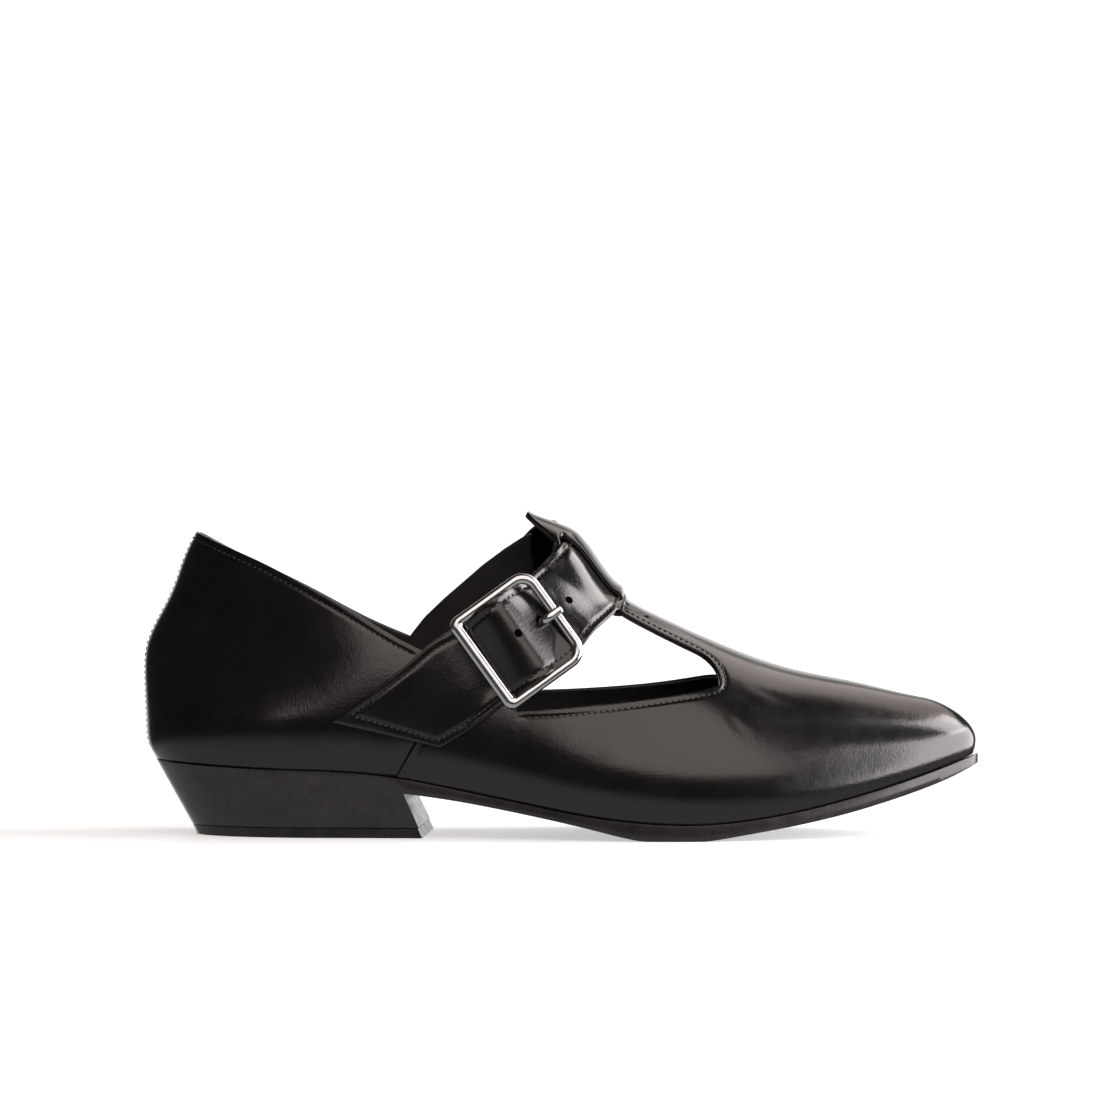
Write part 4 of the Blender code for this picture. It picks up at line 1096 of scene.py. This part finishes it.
def sole_columns(side):
    """Columns of the sole's side from top to underside, heel first, with those of the breast between."""
    edge_line = edge_stations(side)
    edge = offset(edge_line, SOLE_EDGE, side)
    low = offset(edge_line, SOLE_EDGE - SOLE_TUCK, side)
    heel_end = (HEEL_LAST_TOP_X + BREAST_TOP_X) / 2
    heel = [heel_side(x, y) for x, y in edge if x <= heel_end]
    front = [sole_side(*at, *low_at) for at, low_at in zip(edge, low) if at[0] > heel_end]
    last, first = np.array(heel[-1]), np.array(front[0])
    breast = [[tuple(point) for point in last + (first - last) * part] for part in BREAST_PARTS]
    return heel + breast + front


def build_sole(material):
    """Outsole and heel as one unit."""
    piece = make_piece("sole_unit", *ladder(sole_columns(-1), sole_columns(1)), material, "sole")
    round_edges(piece, SOLE_ROUND)


def build_top_piece(material):
    """Thin lift under the heel, inset a little."""
    middle = (BREAST_FOOT_X + HEEL_LEAN) / 2
    sides = []
    for side in SIDES:
        columns = []
        for one in sole_columns(side):
            x, y, z = one[-1]
            if z > TOP_PIECE + GAP + SLACK or x > BREAST_FOOT_X + BREAST_FOOT_SKEW + SLACK:
                continue
            top = np.array((middle + (x - middle) * TOP_PIECE_INSET, y * TOP_PIECE_INSET, TOP_PIECE))
            columns.append([tuple(top + TOP_PIECE * part * TOP_PIECE_DOWN) for part in TOP_PIECE_PARTS])
        sides.append(columns)
    lateral, medial = sides
    centre = [tuple((a + b) / 2 for a, b in zip(p, q)) for p, q in zip(lateral[-1], medial[-1])]
    solid = ladder(lateral + [centre], medial + [centre])
    round_edges(make_piece("top_piece", *solid, material, "heel_top_piece"), TOP_PIECE_ROUND)


def build_insole(material):
    """Board and sock inside the upper."""
    sides = []
    for side in SIDES:
        edge = offset(edge_stations(side), -INSOLE_MARGIN, side)
        low = [SOLE_TOP(x) + GAP for x, _ in edge]
        sides.append([[(x, y, z + INSOLE_THICK), (x, y, z)] for (x, y), z in zip(edge, low)])
    round_edges(make_piece("sock", *ladder(*sides), material, "insole"), INSOLE_ROUND)


# Strap

STRAP_DROPS = (0.0, 0.35, 0.8, 1.2, 1.5, 1.8, 2.1, 2.4, 2.8, 3.4, 4.3, 5.6, 7.1, 8.6, 10.1, 11.5)
STRAP_HALF = 12.8
STRAP_COARSE = (66, 7)
STRAP_STEP = 0.5
STRAP_RIM = 0.3
STRAP_UNDER_BAR = (9.0, 18.0)
STRAP_INSET = 1.9
STRAP_SOFTEN = 2
STRAP_UNEVEN_DEPTH = 0.06
STRAP_UNEVEN_SIZE = 9.0
CRINKLE_AT = 17.5
CRINKLE_SPREAD = 3.0
CRINKLE_SIZE = 2.6
CRINKLE_DEPTH = 0.09
STRAP_HOLES = (
    # distance along, radius
    (0.6, 1.3), (8.6, 1.6), (20.6, 1.3),
)
HOLE_SIDES = 24
# Heights of the cutter's ends over the strap's outer face
HOLE_DEPTHS = (-1.2, 3.0)
HOLE_REACH = 0.5
ALONG_STEP = 1.0
ACROSS_STEP = 3.0
WALK_LEFT = 1e-6


def walk(place, direction, length, step, turn=None):
    """Goes ahead on the last's surface. turn gives the degrees for each millimetre at a distance gone."""
    x, m = place
    gone = 0.0
    while length - gone > WALK_LEFT:
        now = min(step, length - gone)
        move, *_ = np.linalg.lstsq(np.stack(tangents(x, m), axis=1), direction * now, rcond=None)
        x, m = x + move[0], m + move[1]
        normal = last_normal(x, m)
        direction = unit(direction - normal * (direction @ normal))
        if turn:
            angle = math.radians(turn(gone)) * now
            direction = direction * math.cos(angle) + np.cross(normal, direction) * math.sin(angle)
        gone += now
    return (x, m), direction


def strap_turn(sign, done):
    """Turn of the strap beyond a distance already done."""
    return lambda gone: sign * STRAP_TURN(sign * (done + gone))


def strap_stations(distances):
    """Place, direction and direction across for each distance along the strap from the buckle's middle."""
    start = (BUCKLE_X, m_at_height(BUCKLE_X, BUCKLE_Z, -1))
    slope = math.radians(STRAP_SLOPE)
    ahead = np.array((math.cos(slope), 0.0, math.sin(slope)))
    normal = last_normal(*start)
    ahead = unit(ahead - normal * (ahead @ normal))
    found = {}
    for sign in (-1, 1):
        place = start
        direction = sign * ahead
        done = 0.0
        for distance in sorted((d for d in distances if d * sign >= 0), key=abs):
            left = abs(distance) - done
            place, direction = walk(place, direction, left, ALONG_STEP, strap_turn(sign, done))
            done = abs(distance)
            across = np.cross(last_normal(*place), sign * direction)
            found[distance] = (place, sign * direction, across)
    return [found[distance] for distance in distances]


def strap_along(distance, v):
    """Distance along the strap at v, with the slanted tail's point at the upper edge."""
    part = max(0.0, (STRAP_BEND_START - distance) / (STRAP_BEND_START - STRAP_START))
    return distance - STRAP_TAIL_SLANT * (v + 1) / 2 * part


def strap_base(distances, across):
    """Points and normals of the last under the strap, as arrays by distance and place across."""
    points = np.zeros((len(distances), len(across), 3))
    normals = np.zeros_like(points)
    for j, v in enumerate(across):
        along = [strap_along(d, v) for d in distances]
        for i, (distance, station) in enumerate(zip(along, strap_stations(along))):
            place, _, aside = station
            reach = v * STRAP_WIDTH(distance) / 2 + STRAP_SHIFT(distance)
            if reach:
                place = walk(place, aside * math.copysign(1.0, reach), abs(reach), ACROSS_STEP)[0]
            points[i, j] = last_point(*place)
            normals[i, j] = last_normal(*place)
    return points, normals


def strap_lift(distance, v):
    """Height of the strap's underside above the upper."""
    return max(STRAP_LEAST_LIFT, STRAP_LIFT(distance) + STRAP_TILT(distance) * v / 2)


def under_bar(points, lift):
    """Lift of the strap, raised to just under the T-bar where it passes below it."""
    near, far = STRAP_UNDER_BAR
    part = smooth(np.clip((far - np.abs(points[..., 1])) / (far - near), 0, 1))
    bar = np.vectorize(BAR_MIDDLE_LIFT)(np.clip(points[..., 0], SLIT_X[0] + 1, SLIT_X[1] - 1))
    return lift + part * np.maximum(0, bar - BAR_OVER - STRAP_THICK - GAP - lift)


def strap_grid():
    """Outer points of the strap by distance along and place across, and both lists of places."""
    coarse_along = np.linspace(STRAP_START, STRAP_END, STRAP_COARSE[0])
    coarse_across = np.linspace(-1, 1, STRAP_COARSE[1])
    along = np.arange(STRAP_START, STRAP_END + TINY, STRAP_STEP)
    lower = [-1 + drop / STRAP_HALF for drop in STRAP_DROPS]
    across = np.array(lower + [0.0] + [-v for v in lower[::-1]])
    both = resample(coarse_along, np.concatenate(strap_base(coarse_along, coarse_across), axis=2), along)
    both = resample(coarse_across, both.transpose(1, 0, 2), across).transpose(1, 0, 2)
    points, normals = both[..., :3], unit(both[..., 3:])
    lift = np.array([[strap_lift(strap_along(d, v), v) for v in across] for d in along])
    return points + normals * (under_bar(points, lift) + STRAP_THICK)[..., None], along, across


def strap_path(grid, along, across):
    """Stitch line of the strap: both edges and the slanted end."""
    low = int(np.argmin(np.abs(across + 1 - STRAP_INSET / STRAP_HALF)))
    high = len(across) - 1 - low
    end = int(np.argmin(np.abs(along - STRAP_START - STRAP_INSET)))
    rows = (grid[:end:-1, low], grid[end, low : high + 1], grid[end + 1 :, high])
    return even_path(np.concatenate(rows), STRAP_SOFTEN)


def build_strap(material, thread, hole_shade):
    """The strap: two layers of leather with rounded edges, holes lined with painted shade, and a row of
    stitches all round.
    """
    grid, along, across = strap_grid()
    sheet = Sheet()
    sheet.grid([[sheet.add(point) for point in row] for row in grid])
    points = np.array(sheet.points)
    paths = [strap_path(grid, along, across)]
    beside_frame = np.exp(-(((along - CRINKLE_AT) / CRINKLE_SPREAD) ** 2)).repeat(len(across))
    sink = troughs(points, paths) + STRAP_UNEVEN_DEPTH * uneven(points, STRAP_UNEVEN_SIZE)
    sink += CRINKLE_DEPTH * beside_frame * uneven(points, CRINKLE_SIZE)
    outer = points - sheet_normals(points, sheet.faces) * sink[:, None]
    solid = thicken(outer, sheet.faces, STRAP_THICK, STRAP_RIM, TWO_LAYER_RIM)
    strap = make_piece("strap_leather", *solid, material, "strap")
    combine(strap, "DIFFERENCE", [hole_cutter(*hole, hole_shade) for hole in STRAP_HOLES])
    surface = BVHTree.FromPolygons(outer.tolist(), sheet.faces)
    make_stitches("strap_stitches", paths, surface, thread, "strap")


def hole_cutter(distance, radius, material):
    """Round cutter for a blind hole in the strap's outer face, square to it. Its near-black, dull material
    goes onto the hole's walls and floor as painted shade.
    """
    places = (distance - HOLE_REACH, distance, distance + HOLE_REACH)
    found = strap_stations(places)
    points = []
    for at, (place, _, _) in zip(places, found):
        points.append(last_point(*place) + last_normal(*place) * (strap_lift(at, 0) + STRAP_THICK))
    before, middle, after = points
    along = unit(after - before)
    across = found[1][2]
    outward = np.cross(along, across)
    ring = ring_round(middle, radius * along, radius * across, HOLE_SIDES)
    solid = loft([[point + outward * height for point in ring] for height in HOLE_DEPTHS])
    return make_mesh(f"hole_{distance}", *solid, material)


# Buckle, in a plane of its own over the upper: s along the strap, v across it, n outwards

FRAME_LENGTH = 31.6
FRAME_WIDTH = 34.4
# Heights of the frame's underside and top
FRAME_HEIGHT = (2.8, 5.6)
# Widths of the tail bar, the head bar and the side bars, and radii of the corners at tail and head
FRAME_BARS = (3.9, 3.3, 3.2)
FRAME_CORNERS = (3.4, 6.4)
FRAME_LEAST_CORNER = 1.2
FRAME_CORNER_FALL = 2.8
FRAME_CORNER_STEPS = 14
FRAME_PROFILE_STEPS = 28
FRAME_SQUARENESS = 0.95
FRAME_REST = 0.62
FRAME_TILT = 0.24
FRAME_TURN = 0.12
FRAME_SETTLE = 2.0
BAR_RADIUS = 1.2
BAR_HEIGHT = 2.45
BAR_SIDES = 20
PRONG_RADIUS = 0.95
PRONG_FLATNESS = 1.5
PRONG_SIDES = 16
PRONG_STEPS = 70
PRONG_HOOK_DEGREES = range(-35, -300, -16)
PRONG_ROUTE = (
    # distance along, height
    (3.4, 3.3), (6.2, 2.4), (8.0, 2.6), (8.9, 4.4), (9.8, 6.4), (11.0, 7.2), (12.6, 7.2), (14.6, 7.0),
    (16.4, 6.8),
)
PRONG_TIP = 0.8
PRONG_TIP_ROWS = (0.55, 0.3, 0.12, 0.0)
PRONG_END_RADII = {-1: 0.35, -2: 0.66, -3: 0.86, 0: 0.6, 1: 0.9}
CHAPE_THICK = 0.9
CHAPE_WIDTH = 21.0
CHAPE_SLOT = 5.4
CHAPE_SLOT_S = (-3.6, 6.0)
CHAPE_SLOT_N = (-3.0, 9.0)
CHAPE_LENGTH = 9.0
CHAPE_PLAY = 0.25
CHAPE_DEGREES = range(-90, 181, 9)
CHAPE_SHARP_DEGREES = 30


def buckle_frame_axes():
    """Origin and directions along the strap, across it and outwards, of a plane that rests on the upper."""
    (place, along, across), = strap_stations((0.0,))
    middle = last_point(*place)
    corners = []
    for s in (-1, 1):
        for v in (-1, 1):
            ahead = (along * s + across * v) / math.sqrt(2)
            corners.append(last_point(*walk(place, ahead, FRAME_WIDTH * FRAME_REST, ACROSS_STEP)[0]))
    outward = unit(np.cross(corners[3] - corners[0], corners[1] - corners[2]))
    outward = unit(outward - np.array((0.0, 0.0, FRAME_TILT)) + FRAME_TURN * along)
    along = unit(along - outward * (along @ outward))
    rise = max(0.0, max((corner - middle) @ outward for corner in corners) - FRAME_SETTLE)
    return middle + outward * rise, along, np.cross(outward, along), outward


BUCKLE_AXES = buckle_frame_axes()


def on_buckle(s, v, n):
    """Point at a place of the buckle's plane and a height over it."""
    origin, along, across, outward = BUCKLE_AXES
    return origin + along * s + across * v + outward * n


def rounded_frame(inset):
    """Ring of points (s, v) round the frame, inset from its outer edge by parts of each bar's width."""
    tail_bar, head_bar, side_bar = FRAME_BARS
    low_s = -FRAME_LENGTH / 2 + inset * tail_bar
    high_s = FRAME_LENGTH / 2 - inset * head_bar
    half_v = FRAME_WIDTH / 2 - inset * side_bar
    points = []
    corners = ((high_s, half_v, 0, 1), (low_s, half_v, 90, 0))
    corners += ((low_s, -half_v, 180, 0), (high_s, -half_v, 270, 1))
    for s, v, turn, kind in corners:
        radius = max(FRAME_LEAST_CORNER, FRAME_CORNERS[kind] - inset * FRAME_CORNER_FALL)
        centre = (s - math.copysign(radius, s), v - math.copysign(radius, v))
        for i in range(FRAME_CORNER_STEPS):
            angle = math.radians(turn + 90 * i / (FRAME_CORNER_STEPS - 1))
            points.append((centre[0] + radius * math.cos(angle), centre[1] + radius * math.sin(angle)))
    return points


def squarish(value):
    """A sine or cosine, made a little squarer."""
    return math.copysign(abs(value) ** FRAME_SQUARENESS, value)


def round_bar(radius, angles):
    """Points (s, n) round the centre bar's axis."""
    return [(radius * math.cos(a), BAR_HEIGHT + radius * math.sin(a)) for a in angles]


def build_buckle_frame(material):
    """Frame with flat-topped, rounded bars, and its centre bar."""
    low, high = FRAME_HEIGHT
    rings = []
    for angle in circle(FRAME_PROFILE_STEPS):
        inset = 0.5 - 0.5 * squarish(math.cos(angle))
        n = low + (high - low) * (0.5 + 0.5 * squarish(math.sin(angle)))
        rings.append([on_buckle(s, v, n) for s, v in rounded_frame(inset)])
    piece = make_piece("frame_chrome", *loft(rings, closed=True), material, "buckle_frame")
    reach = (FRAME_WIDTH - FRAME_BARS[2]) / 2
    ring = round_bar(BAR_RADIUS, [-angle - math.pi / BAR_SIDES for angle in circle(BAR_SIDES)])
    bar = loft([[on_buckle(s, v, n) for s, n in ring] for v in (-reach, reach)])
    combine(piece, "UNION", [make_mesh("centre_bar", *bar, material)])


def build_prong(material):
    """Pin hooked round the centre bar. It comes up through the strap and rests on the frame's head bar."""
    hook_angles = [math.radians(degrees) for degrees in PRONG_HOOK_DEGREES]
    hook = round_bar(BAR_RADIUS + GAP + PRONG_RADIUS, hook_angles)
    route = np.array(hook + list(PRONG_ROUTE))
    gone = gone_along(route)
    shank = np.linspace(0, gone[-1] - PRONG_TIP, PRONG_STEPS)
    at = np.concatenate([shank, gone[-1] - np.array(PRONG_TIP_ROWS)])
    route = resample(gone, route, at)
    radii = np.full(len(at), PRONG_RADIUS)
    for i, part in PRONG_END_RADII.items():
        radii[i] *= part
    rings = []
    for (s, n), run, radius in zip(route, unit(np.gradient(route, axis=0)), radii):
        ring = []
        for angle in circle(PRONG_SIDES):
            up = radius * math.sin(angle)
            aside = PRONG_FLATNESS * radius * math.cos(angle)
            ring.append(on_buckle(s - run[1] * up, aside, n + run[0] * up))
        rings.append(ring)
    make_piece("prong_chrome", *loft(rings), material, "buckle_prong")


def build_chape(material):
    """Leather loop round the centre bar, slotted for the prong, with its leg on the lateral tab."""
    inner = BAR_RADIUS + CHAPE_PLAY
    outer = inner + CHAPE_THICK
    angles = [math.radians(degrees) for degrees in CHAPE_DEGREES]
    outline = [(-CHAPE_LENGTH, BAR_HEIGHT - outer)] + round_bar(outer, angles)
    outline += round_bar(inner, angles[::-1]) + [(-CHAPE_LENGTH, BAR_HEIGHT - inner)]
    half = CHAPE_WIDTH / 2
    rings = [[on_buckle(s, v, n) for s, n in outline] for v in (half, -half)]
    chape = make_piece("chape_leather", *loft(rings), material, "buckle_chape")
    slot = CHAPE_SLOT / 2
    low, high = CHAPE_SLOT_S
    box = ((low, -slot), (high, -slot), (high, slot), (low, slot))
    cutter = loft([[on_buckle(s, v, n) for s, v in box] for n in CHAPE_SLOT_N])
    combine(chape, "DIFFERENCE", [make_mesh("chape_slot", *cutter, material)], CHAPE_SHARP_DEGREES)


# Materials

# Noises of the colour, the roughness and the bump, each with scale, detail and roughness
LEATHER = ((70, 4, 0.5), (180, 4, 0.6), (420, 3, 0.5))
RUBBER = ((150, 5, 0.65), (260, 4, 0.5), (900, 4, 0.6))
CHROME = ((300, 3, 0.5), (500, 4, 0.5), (700, 2, 0.5))
# Noises of the painted shade inside the strap's holes
HOLE_SHADE_NOISES = ((900, 3, 0.5), (900, 2, 0.5), (3000, 2, 0.5))
THREAD = ((2500, 2, 0.5), (900, 2, 0.5), (4000, 2, 0.5))
PORES = (1500, 0.018)
GLOSS = {"Coat_Weight": 0.35, "Coat_Roughness": 0.15}
METAL = {"Metallic": 1.0}
DULL = {"Specular_IOR_Level": 0.05}
MATERIALS = (
    # name, noises, dark colour, light colour, range of roughness, depth of the bump, other values
    ("black_leather", LEATHER, (0.002, 0.0018, 0.0018), (0.004, 0.0037, 0.0036), (0.15, 0.22), 0.03, GLOSS),
    ("lining_leather", LEATHER, (0.016, 0.0155, 0.0145), (0.024, 0.023, 0.0215), (0.5, 0.65), 0.03, {}),
    ("sock_leather", LEATHER, (0.010, 0.009, 0.0085), (0.018, 0.0165, 0.0155), (0.45, 0.6), 0.03, {}),
    ("sole_rubber", RUBBER, (0.010, 0.009, 0.009), (0.02, 0.019, 0.018), (0.2, 0.3), 0.012, {}),
    ("top_piece_rubber", RUBBER, (0.010, 0.010, 0.010), (0.018, 0.018, 0.018), (0.25, 0.35), 0.02, {}),
    ("buckle_chrome", CHROME, (0.56, 0.585, 0.60), (0.64, 0.665, 0.68), (0.12, 0.2), 0.004, METAL),
    # Painted shade inside the strap's holes: near black, rough and almost without reflection
    ("hole_painted_shade", HOLE_SHADE_NOISES, (0.001,) * 3, (0.003,) * 3, (0.8, 0.95), 0.02, DULL),
    ("black_thread", THREAD, (0.006, 0.006, 0.006), (0.02, 0.019, 0.018), (0.4, 0.6), 0.03, {}),
)
NOISE_SPAN = (0.3, 0.7)


class Surface:
    """A procedural material: its shader, and short ways to add textures to it."""

    def __init__(self, name, **values):
        self.material = bpy.data.materials.new(name)
        self.material.use_nodes = True
        self.tree = self.material.node_tree
        self.shader = self.tree.nodes["Principled BSDF"]
        for socket, value in values.items():
            self.shader.inputs[socket.replace("_", " ")].default_value = value
        self.place = self.tree.nodes.new("ShaderNodeTexCoord").outputs["Object"]
        self.normal = None

    def node(self, kind, links=(), **values):
        node = self.tree.nodes.new(kind)
        for socket, source in dict(links).items():
            self.tree.links.new(source, node.inputs[socket])
        for socket, value in values.items():
            node.inputs[socket].default_value = value
        return node

    def noise(self, scale, detail, rough):
        values = {"Scale": scale, "Detail": detail, "Roughness": rough}
        return self.node("ShaderNodeTexNoise", {"Vector": self.place}, **values).outputs["Fac"]

    def cells(self, scale):
        return self.node("ShaderNodeTexVoronoi", {"Vector": self.place}, Scale=scale).outputs["Distance"]

    def vary(self, socket, source, low, high, span=NOISE_SPAN):
        """Varies a number of the shader between two values, as a source goes over a span."""
        node = self.node("ShaderNodeMapRange", {"Value": source})
        for name, value in zip(("From Min", "From Max", "To Min", "To Max"), span + (low, high)):
            node.inputs[name].default_value = value
        self.tree.links.new(node.outputs["Result"], self.shader.inputs[socket])

    def colours(self, source, dark, light):
        """Varies the base colour between two colours."""
        node = self.node("ShaderNodeValToRGB", {"Fac": source})
        for element, colour, place in zip(node.color_ramp.elements, (dark, light), NOISE_SPAN):
            element.color = (*colour, 1.0)
            element.position = place
        self.tree.links.new(node.outputs["Color"], self.shader.inputs["Base Color"])

    def bump(self, height, depth_mm):
        """Adds a bump of a depth in millimetres."""
        node = self.node("ShaderNodeBump", {"Height": height}, Strength=1.0, Distance=depth_mm * MM)
        if self.normal:
            self.tree.links.new(self.normal, node.inputs["Normal"])
        self.normal = node.outputs["Normal"]
        self.tree.links.new(self.normal, self.shader.inputs["Normal"])


def make_material(name, noises, dark, light, rough, depth, values):
    """A material from a row of the table. Leather also has pores."""
    surface = Surface(name, **values)
    colour_noise, rough_noise, bump_noise = noises
    surface.colours(surface.noise(*colour_noise), dark, light)
    surface.vary("Roughness", surface.noise(*rough_noise), *rough)
    surface.bump(surface.noise(*bump_noise), depth)
    if noises is LEATHER:
        pore_scale, pore_depth = PORES
        surface.bump(surface.cells(pore_scale), pore_depth)
    return surface.material


# Studio

CAMERA_DISTANCE = 2.0
CAMERA_HEIGHT = 0.14
CAMERA_YAW = 2.0
CAMERA_TARGET = Vector((-0.0003, 0.0, 0.087))
CAMERA_VIEW_WIDTH = 1.12 / 3.147
CAMERA_SENSOR = 36
LIGHT_TARGET = Vector((0.02, 0.0, 0.04))
LIGHTS = (
    # name, azimuth and elevation from the shoe, distance, width, height, upright or not, radiance, colour
    ("front", 13.0, 46.7, 1.455, 1.15, 1.75, True, 1.75, (1.0, 0.86, 0.81)),
    ("right", 86.0, 11.2, 0.974, 1.35, 0.78, True, 7.0, (1.0, 0.94, 0.95)),
    ("high", 92.0, 40.0, 1.1, 0.60, 0.46, False, 8.0, (1.0, 0.94, 0.95)),
    ("back", 130.0, 52.0, 1.2, 1.20, 0.50, False, 1.9, (1.0, 0.88, 0.83)),
)
FLOOR_HALF = 4000.0
FLOOR_ROUGHNESS = 0.6
FLOOR_NOISE = (30, 3, 0.5)
FLOOR_GREYS = ((0.80,) * 3, (0.83,) * 3)
FLOOR_GLOW_COLOUR = (1.0, 0.995, 0.99, 1.0)
FLOOR_GLOW = (0.5, 0.95)
FLOOR_FADE = (0.25, 1.2)
WORLD_BACK = (1.25, 1.24, 1.23)
WORLD_FRONT = (0.05, 0.049, 0.048)
WORLD_BELOW = (0.46, 0.44, 0.43)
WORLD_HORIZON = (-0.42, -0.17)
WORLD_SIDE = (0.75, 0.97)
BLACK = (0.0, 0.0, 0.0)
WHITE = (1.0, 1.0, 1.0)
# Numbers of a mix node's sockets for colours
MIX_FIRST, MIX_SECOND, MIX_RESULT = 6, 7, 2


def aim(obj, place, target):
    """Puts an object at a place and turns it to a target."""
    obj.location = place
    obj.rotation_euler = (Vector(target) - Vector(place)).to_track_quat("-Z", "Y").to_euler()


def build_lights():
    """Softboxes, which only the shoe and the floor see."""
    for name, azimuth, elevation, distance, width, height, upright, radiance, colour in LIGHTS:
        light = bpy.data.lights.new(name, "AREA")
        light.shape = "RECTANGLE"
        light.size = width
        light.size_y = height
        light.energy = radiance * math.pi * width * height
        light.color = colour
        obj = add_object(name, light)
        obj.visible_camera = False
        turn, rise = math.radians(azimuth), math.radians(elevation)
        away = Vector((math.sin(turn) * math.cos(rise), -math.cos(turn) * math.cos(rise), math.sin(rise)))
        place = LIGHT_TARGET + distance * away
        aim(obj, place, (*LIGHT_TARGET.xy, place.z) if upright else LIGHT_TARGET)


def build_world():
    """Surroundings: white behind the shoe, dark on the camera's side down to the horizon, grey below it."""
    world = bpy.data.worlds.new("studio")
    bpy.context.scene.world = world
    world.use_nodes = True
    tree = world.node_tree
    place = tree.nodes.new("ShaderNodeTexCoord")
    split = tree.nodes.new("ShaderNodeSeparateXYZ")
    tree.links.new(place.outputs["Generated"], split.inputs[0])
    low_to_high = world_ramp(tree, split.outputs["Z"], WORLD_BELOW, WORLD_FRONT, WORLD_HORIZON)
    backness = world_ramp(tree, split.outputs["Y"], BLACK, WHITE, WORLD_SIDE)
    blend = tree.nodes.new("ShaderNodeMix")
    blend.data_type = "RGBA"
    tree.links.new(backness, blend.inputs["Factor"])
    tree.links.new(low_to_high, blend.inputs[MIX_FIRST])
    blend.inputs[MIX_SECOND].default_value = (*WORLD_BACK, 1.0)
    tree.links.new(blend.outputs[MIX_RESULT], tree.nodes["Background"].inputs["Color"])


def world_ramp(tree, source, first, last, span):
    """Colours of the surroundings from a first to a last one, as a direction's part goes over a span."""
    spread = tree.nodes.new("ShaderNodeMapRange")
    spread.inputs["From Min"].default_value = span[0]
    spread.inputs["From Max"].default_value = span[1]
    tree.links.new(source, spread.inputs["Value"])
    ramp = tree.nodes.new("ShaderNodeValToRGB")
    ramp.color_ramp.interpolation = "EASE"
    for element, colour in zip(ramp.color_ramp.elements, (first, last)):
        element.color = (*colour, 1.0)
    tree.links.new(spread.outputs["Result"], ramp.inputs["Fac"])
    return ramp.outputs["Color"]


def build_floor():
    """Plain pale floor. The leather mirrors the surroundings below the horizon instead of it."""
    surface = Surface("floor_pale", Roughness=FLOOR_ROUGHNESS, Emission_Color=FLOOR_GLOW_COLOUR)
    surface.colours(surface.noise(*FLOOR_NOISE), *FLOOR_GREYS)
    away = surface.node("ShaderNodeVectorMath", {0: surface.place})
    away.operation = "LENGTH"
    surface.vary("Emission Strength", away.outputs["Value"], *FLOOR_GLOW, FLOOR_FADE)
    half = FLOOR_HALF
    corners = [(-half, -half, 0), (half, -half, 0), (half, half, 0), (-half, half, 0)]
    floor = make_mesh("floor", corners, [[0, 1, 2, 3]], surface.material)
    floor.visible_glossy = False


def build_camera():
    """Camera on the lateral side, a little above the shoe."""
    yaw = math.radians(CAMERA_YAW)
    away = Vector((math.sin(yaw), -math.cos(yaw), 0.0)) * CAMERA_DISTANCE
    place = Vector((CAMERA_TARGET.x + away.x, away.y, CAMERA_HEIGHT))
    camera = bpy.data.cameras.new("camera")
    camera.sensor_width = CAMERA_SENSOR
    camera.lens = CAMERA_SENSOR * (place - CAMERA_TARGET).length / CAMERA_VIEW_WIDTH
    obj = add_object("camera", camera)
    aim(obj, place, CAMERA_TARGET)
    bpy.context.scene.camera = obj


def main():
    """Builds the shoe's pieces, then the studio round them."""
    bpy.context.scene.view_settings.view_transform = "Standard"
    looks = {row[0]: make_material(*row) for row in MATERIALS}
    build_sole(looks["sole_rubber"])
    build_top_piece(looks["top_piece_rubber"])
    build_insole(looks["sock_leather"])
    build_upper(looks["black_leather"], looks["lining_leather"], looks["black_thread"])
    build_strap(looks["black_leather"], looks["black_thread"], looks["hole_painted_shade"])
    build_buckle_frame(looks["buckle_chrome"])
    build_prong(looks["buckle_chrome"])
    build_chape(looks["black_leather"])
    build_floor()
    build_world()
    build_lights()
    build_camera()


main()
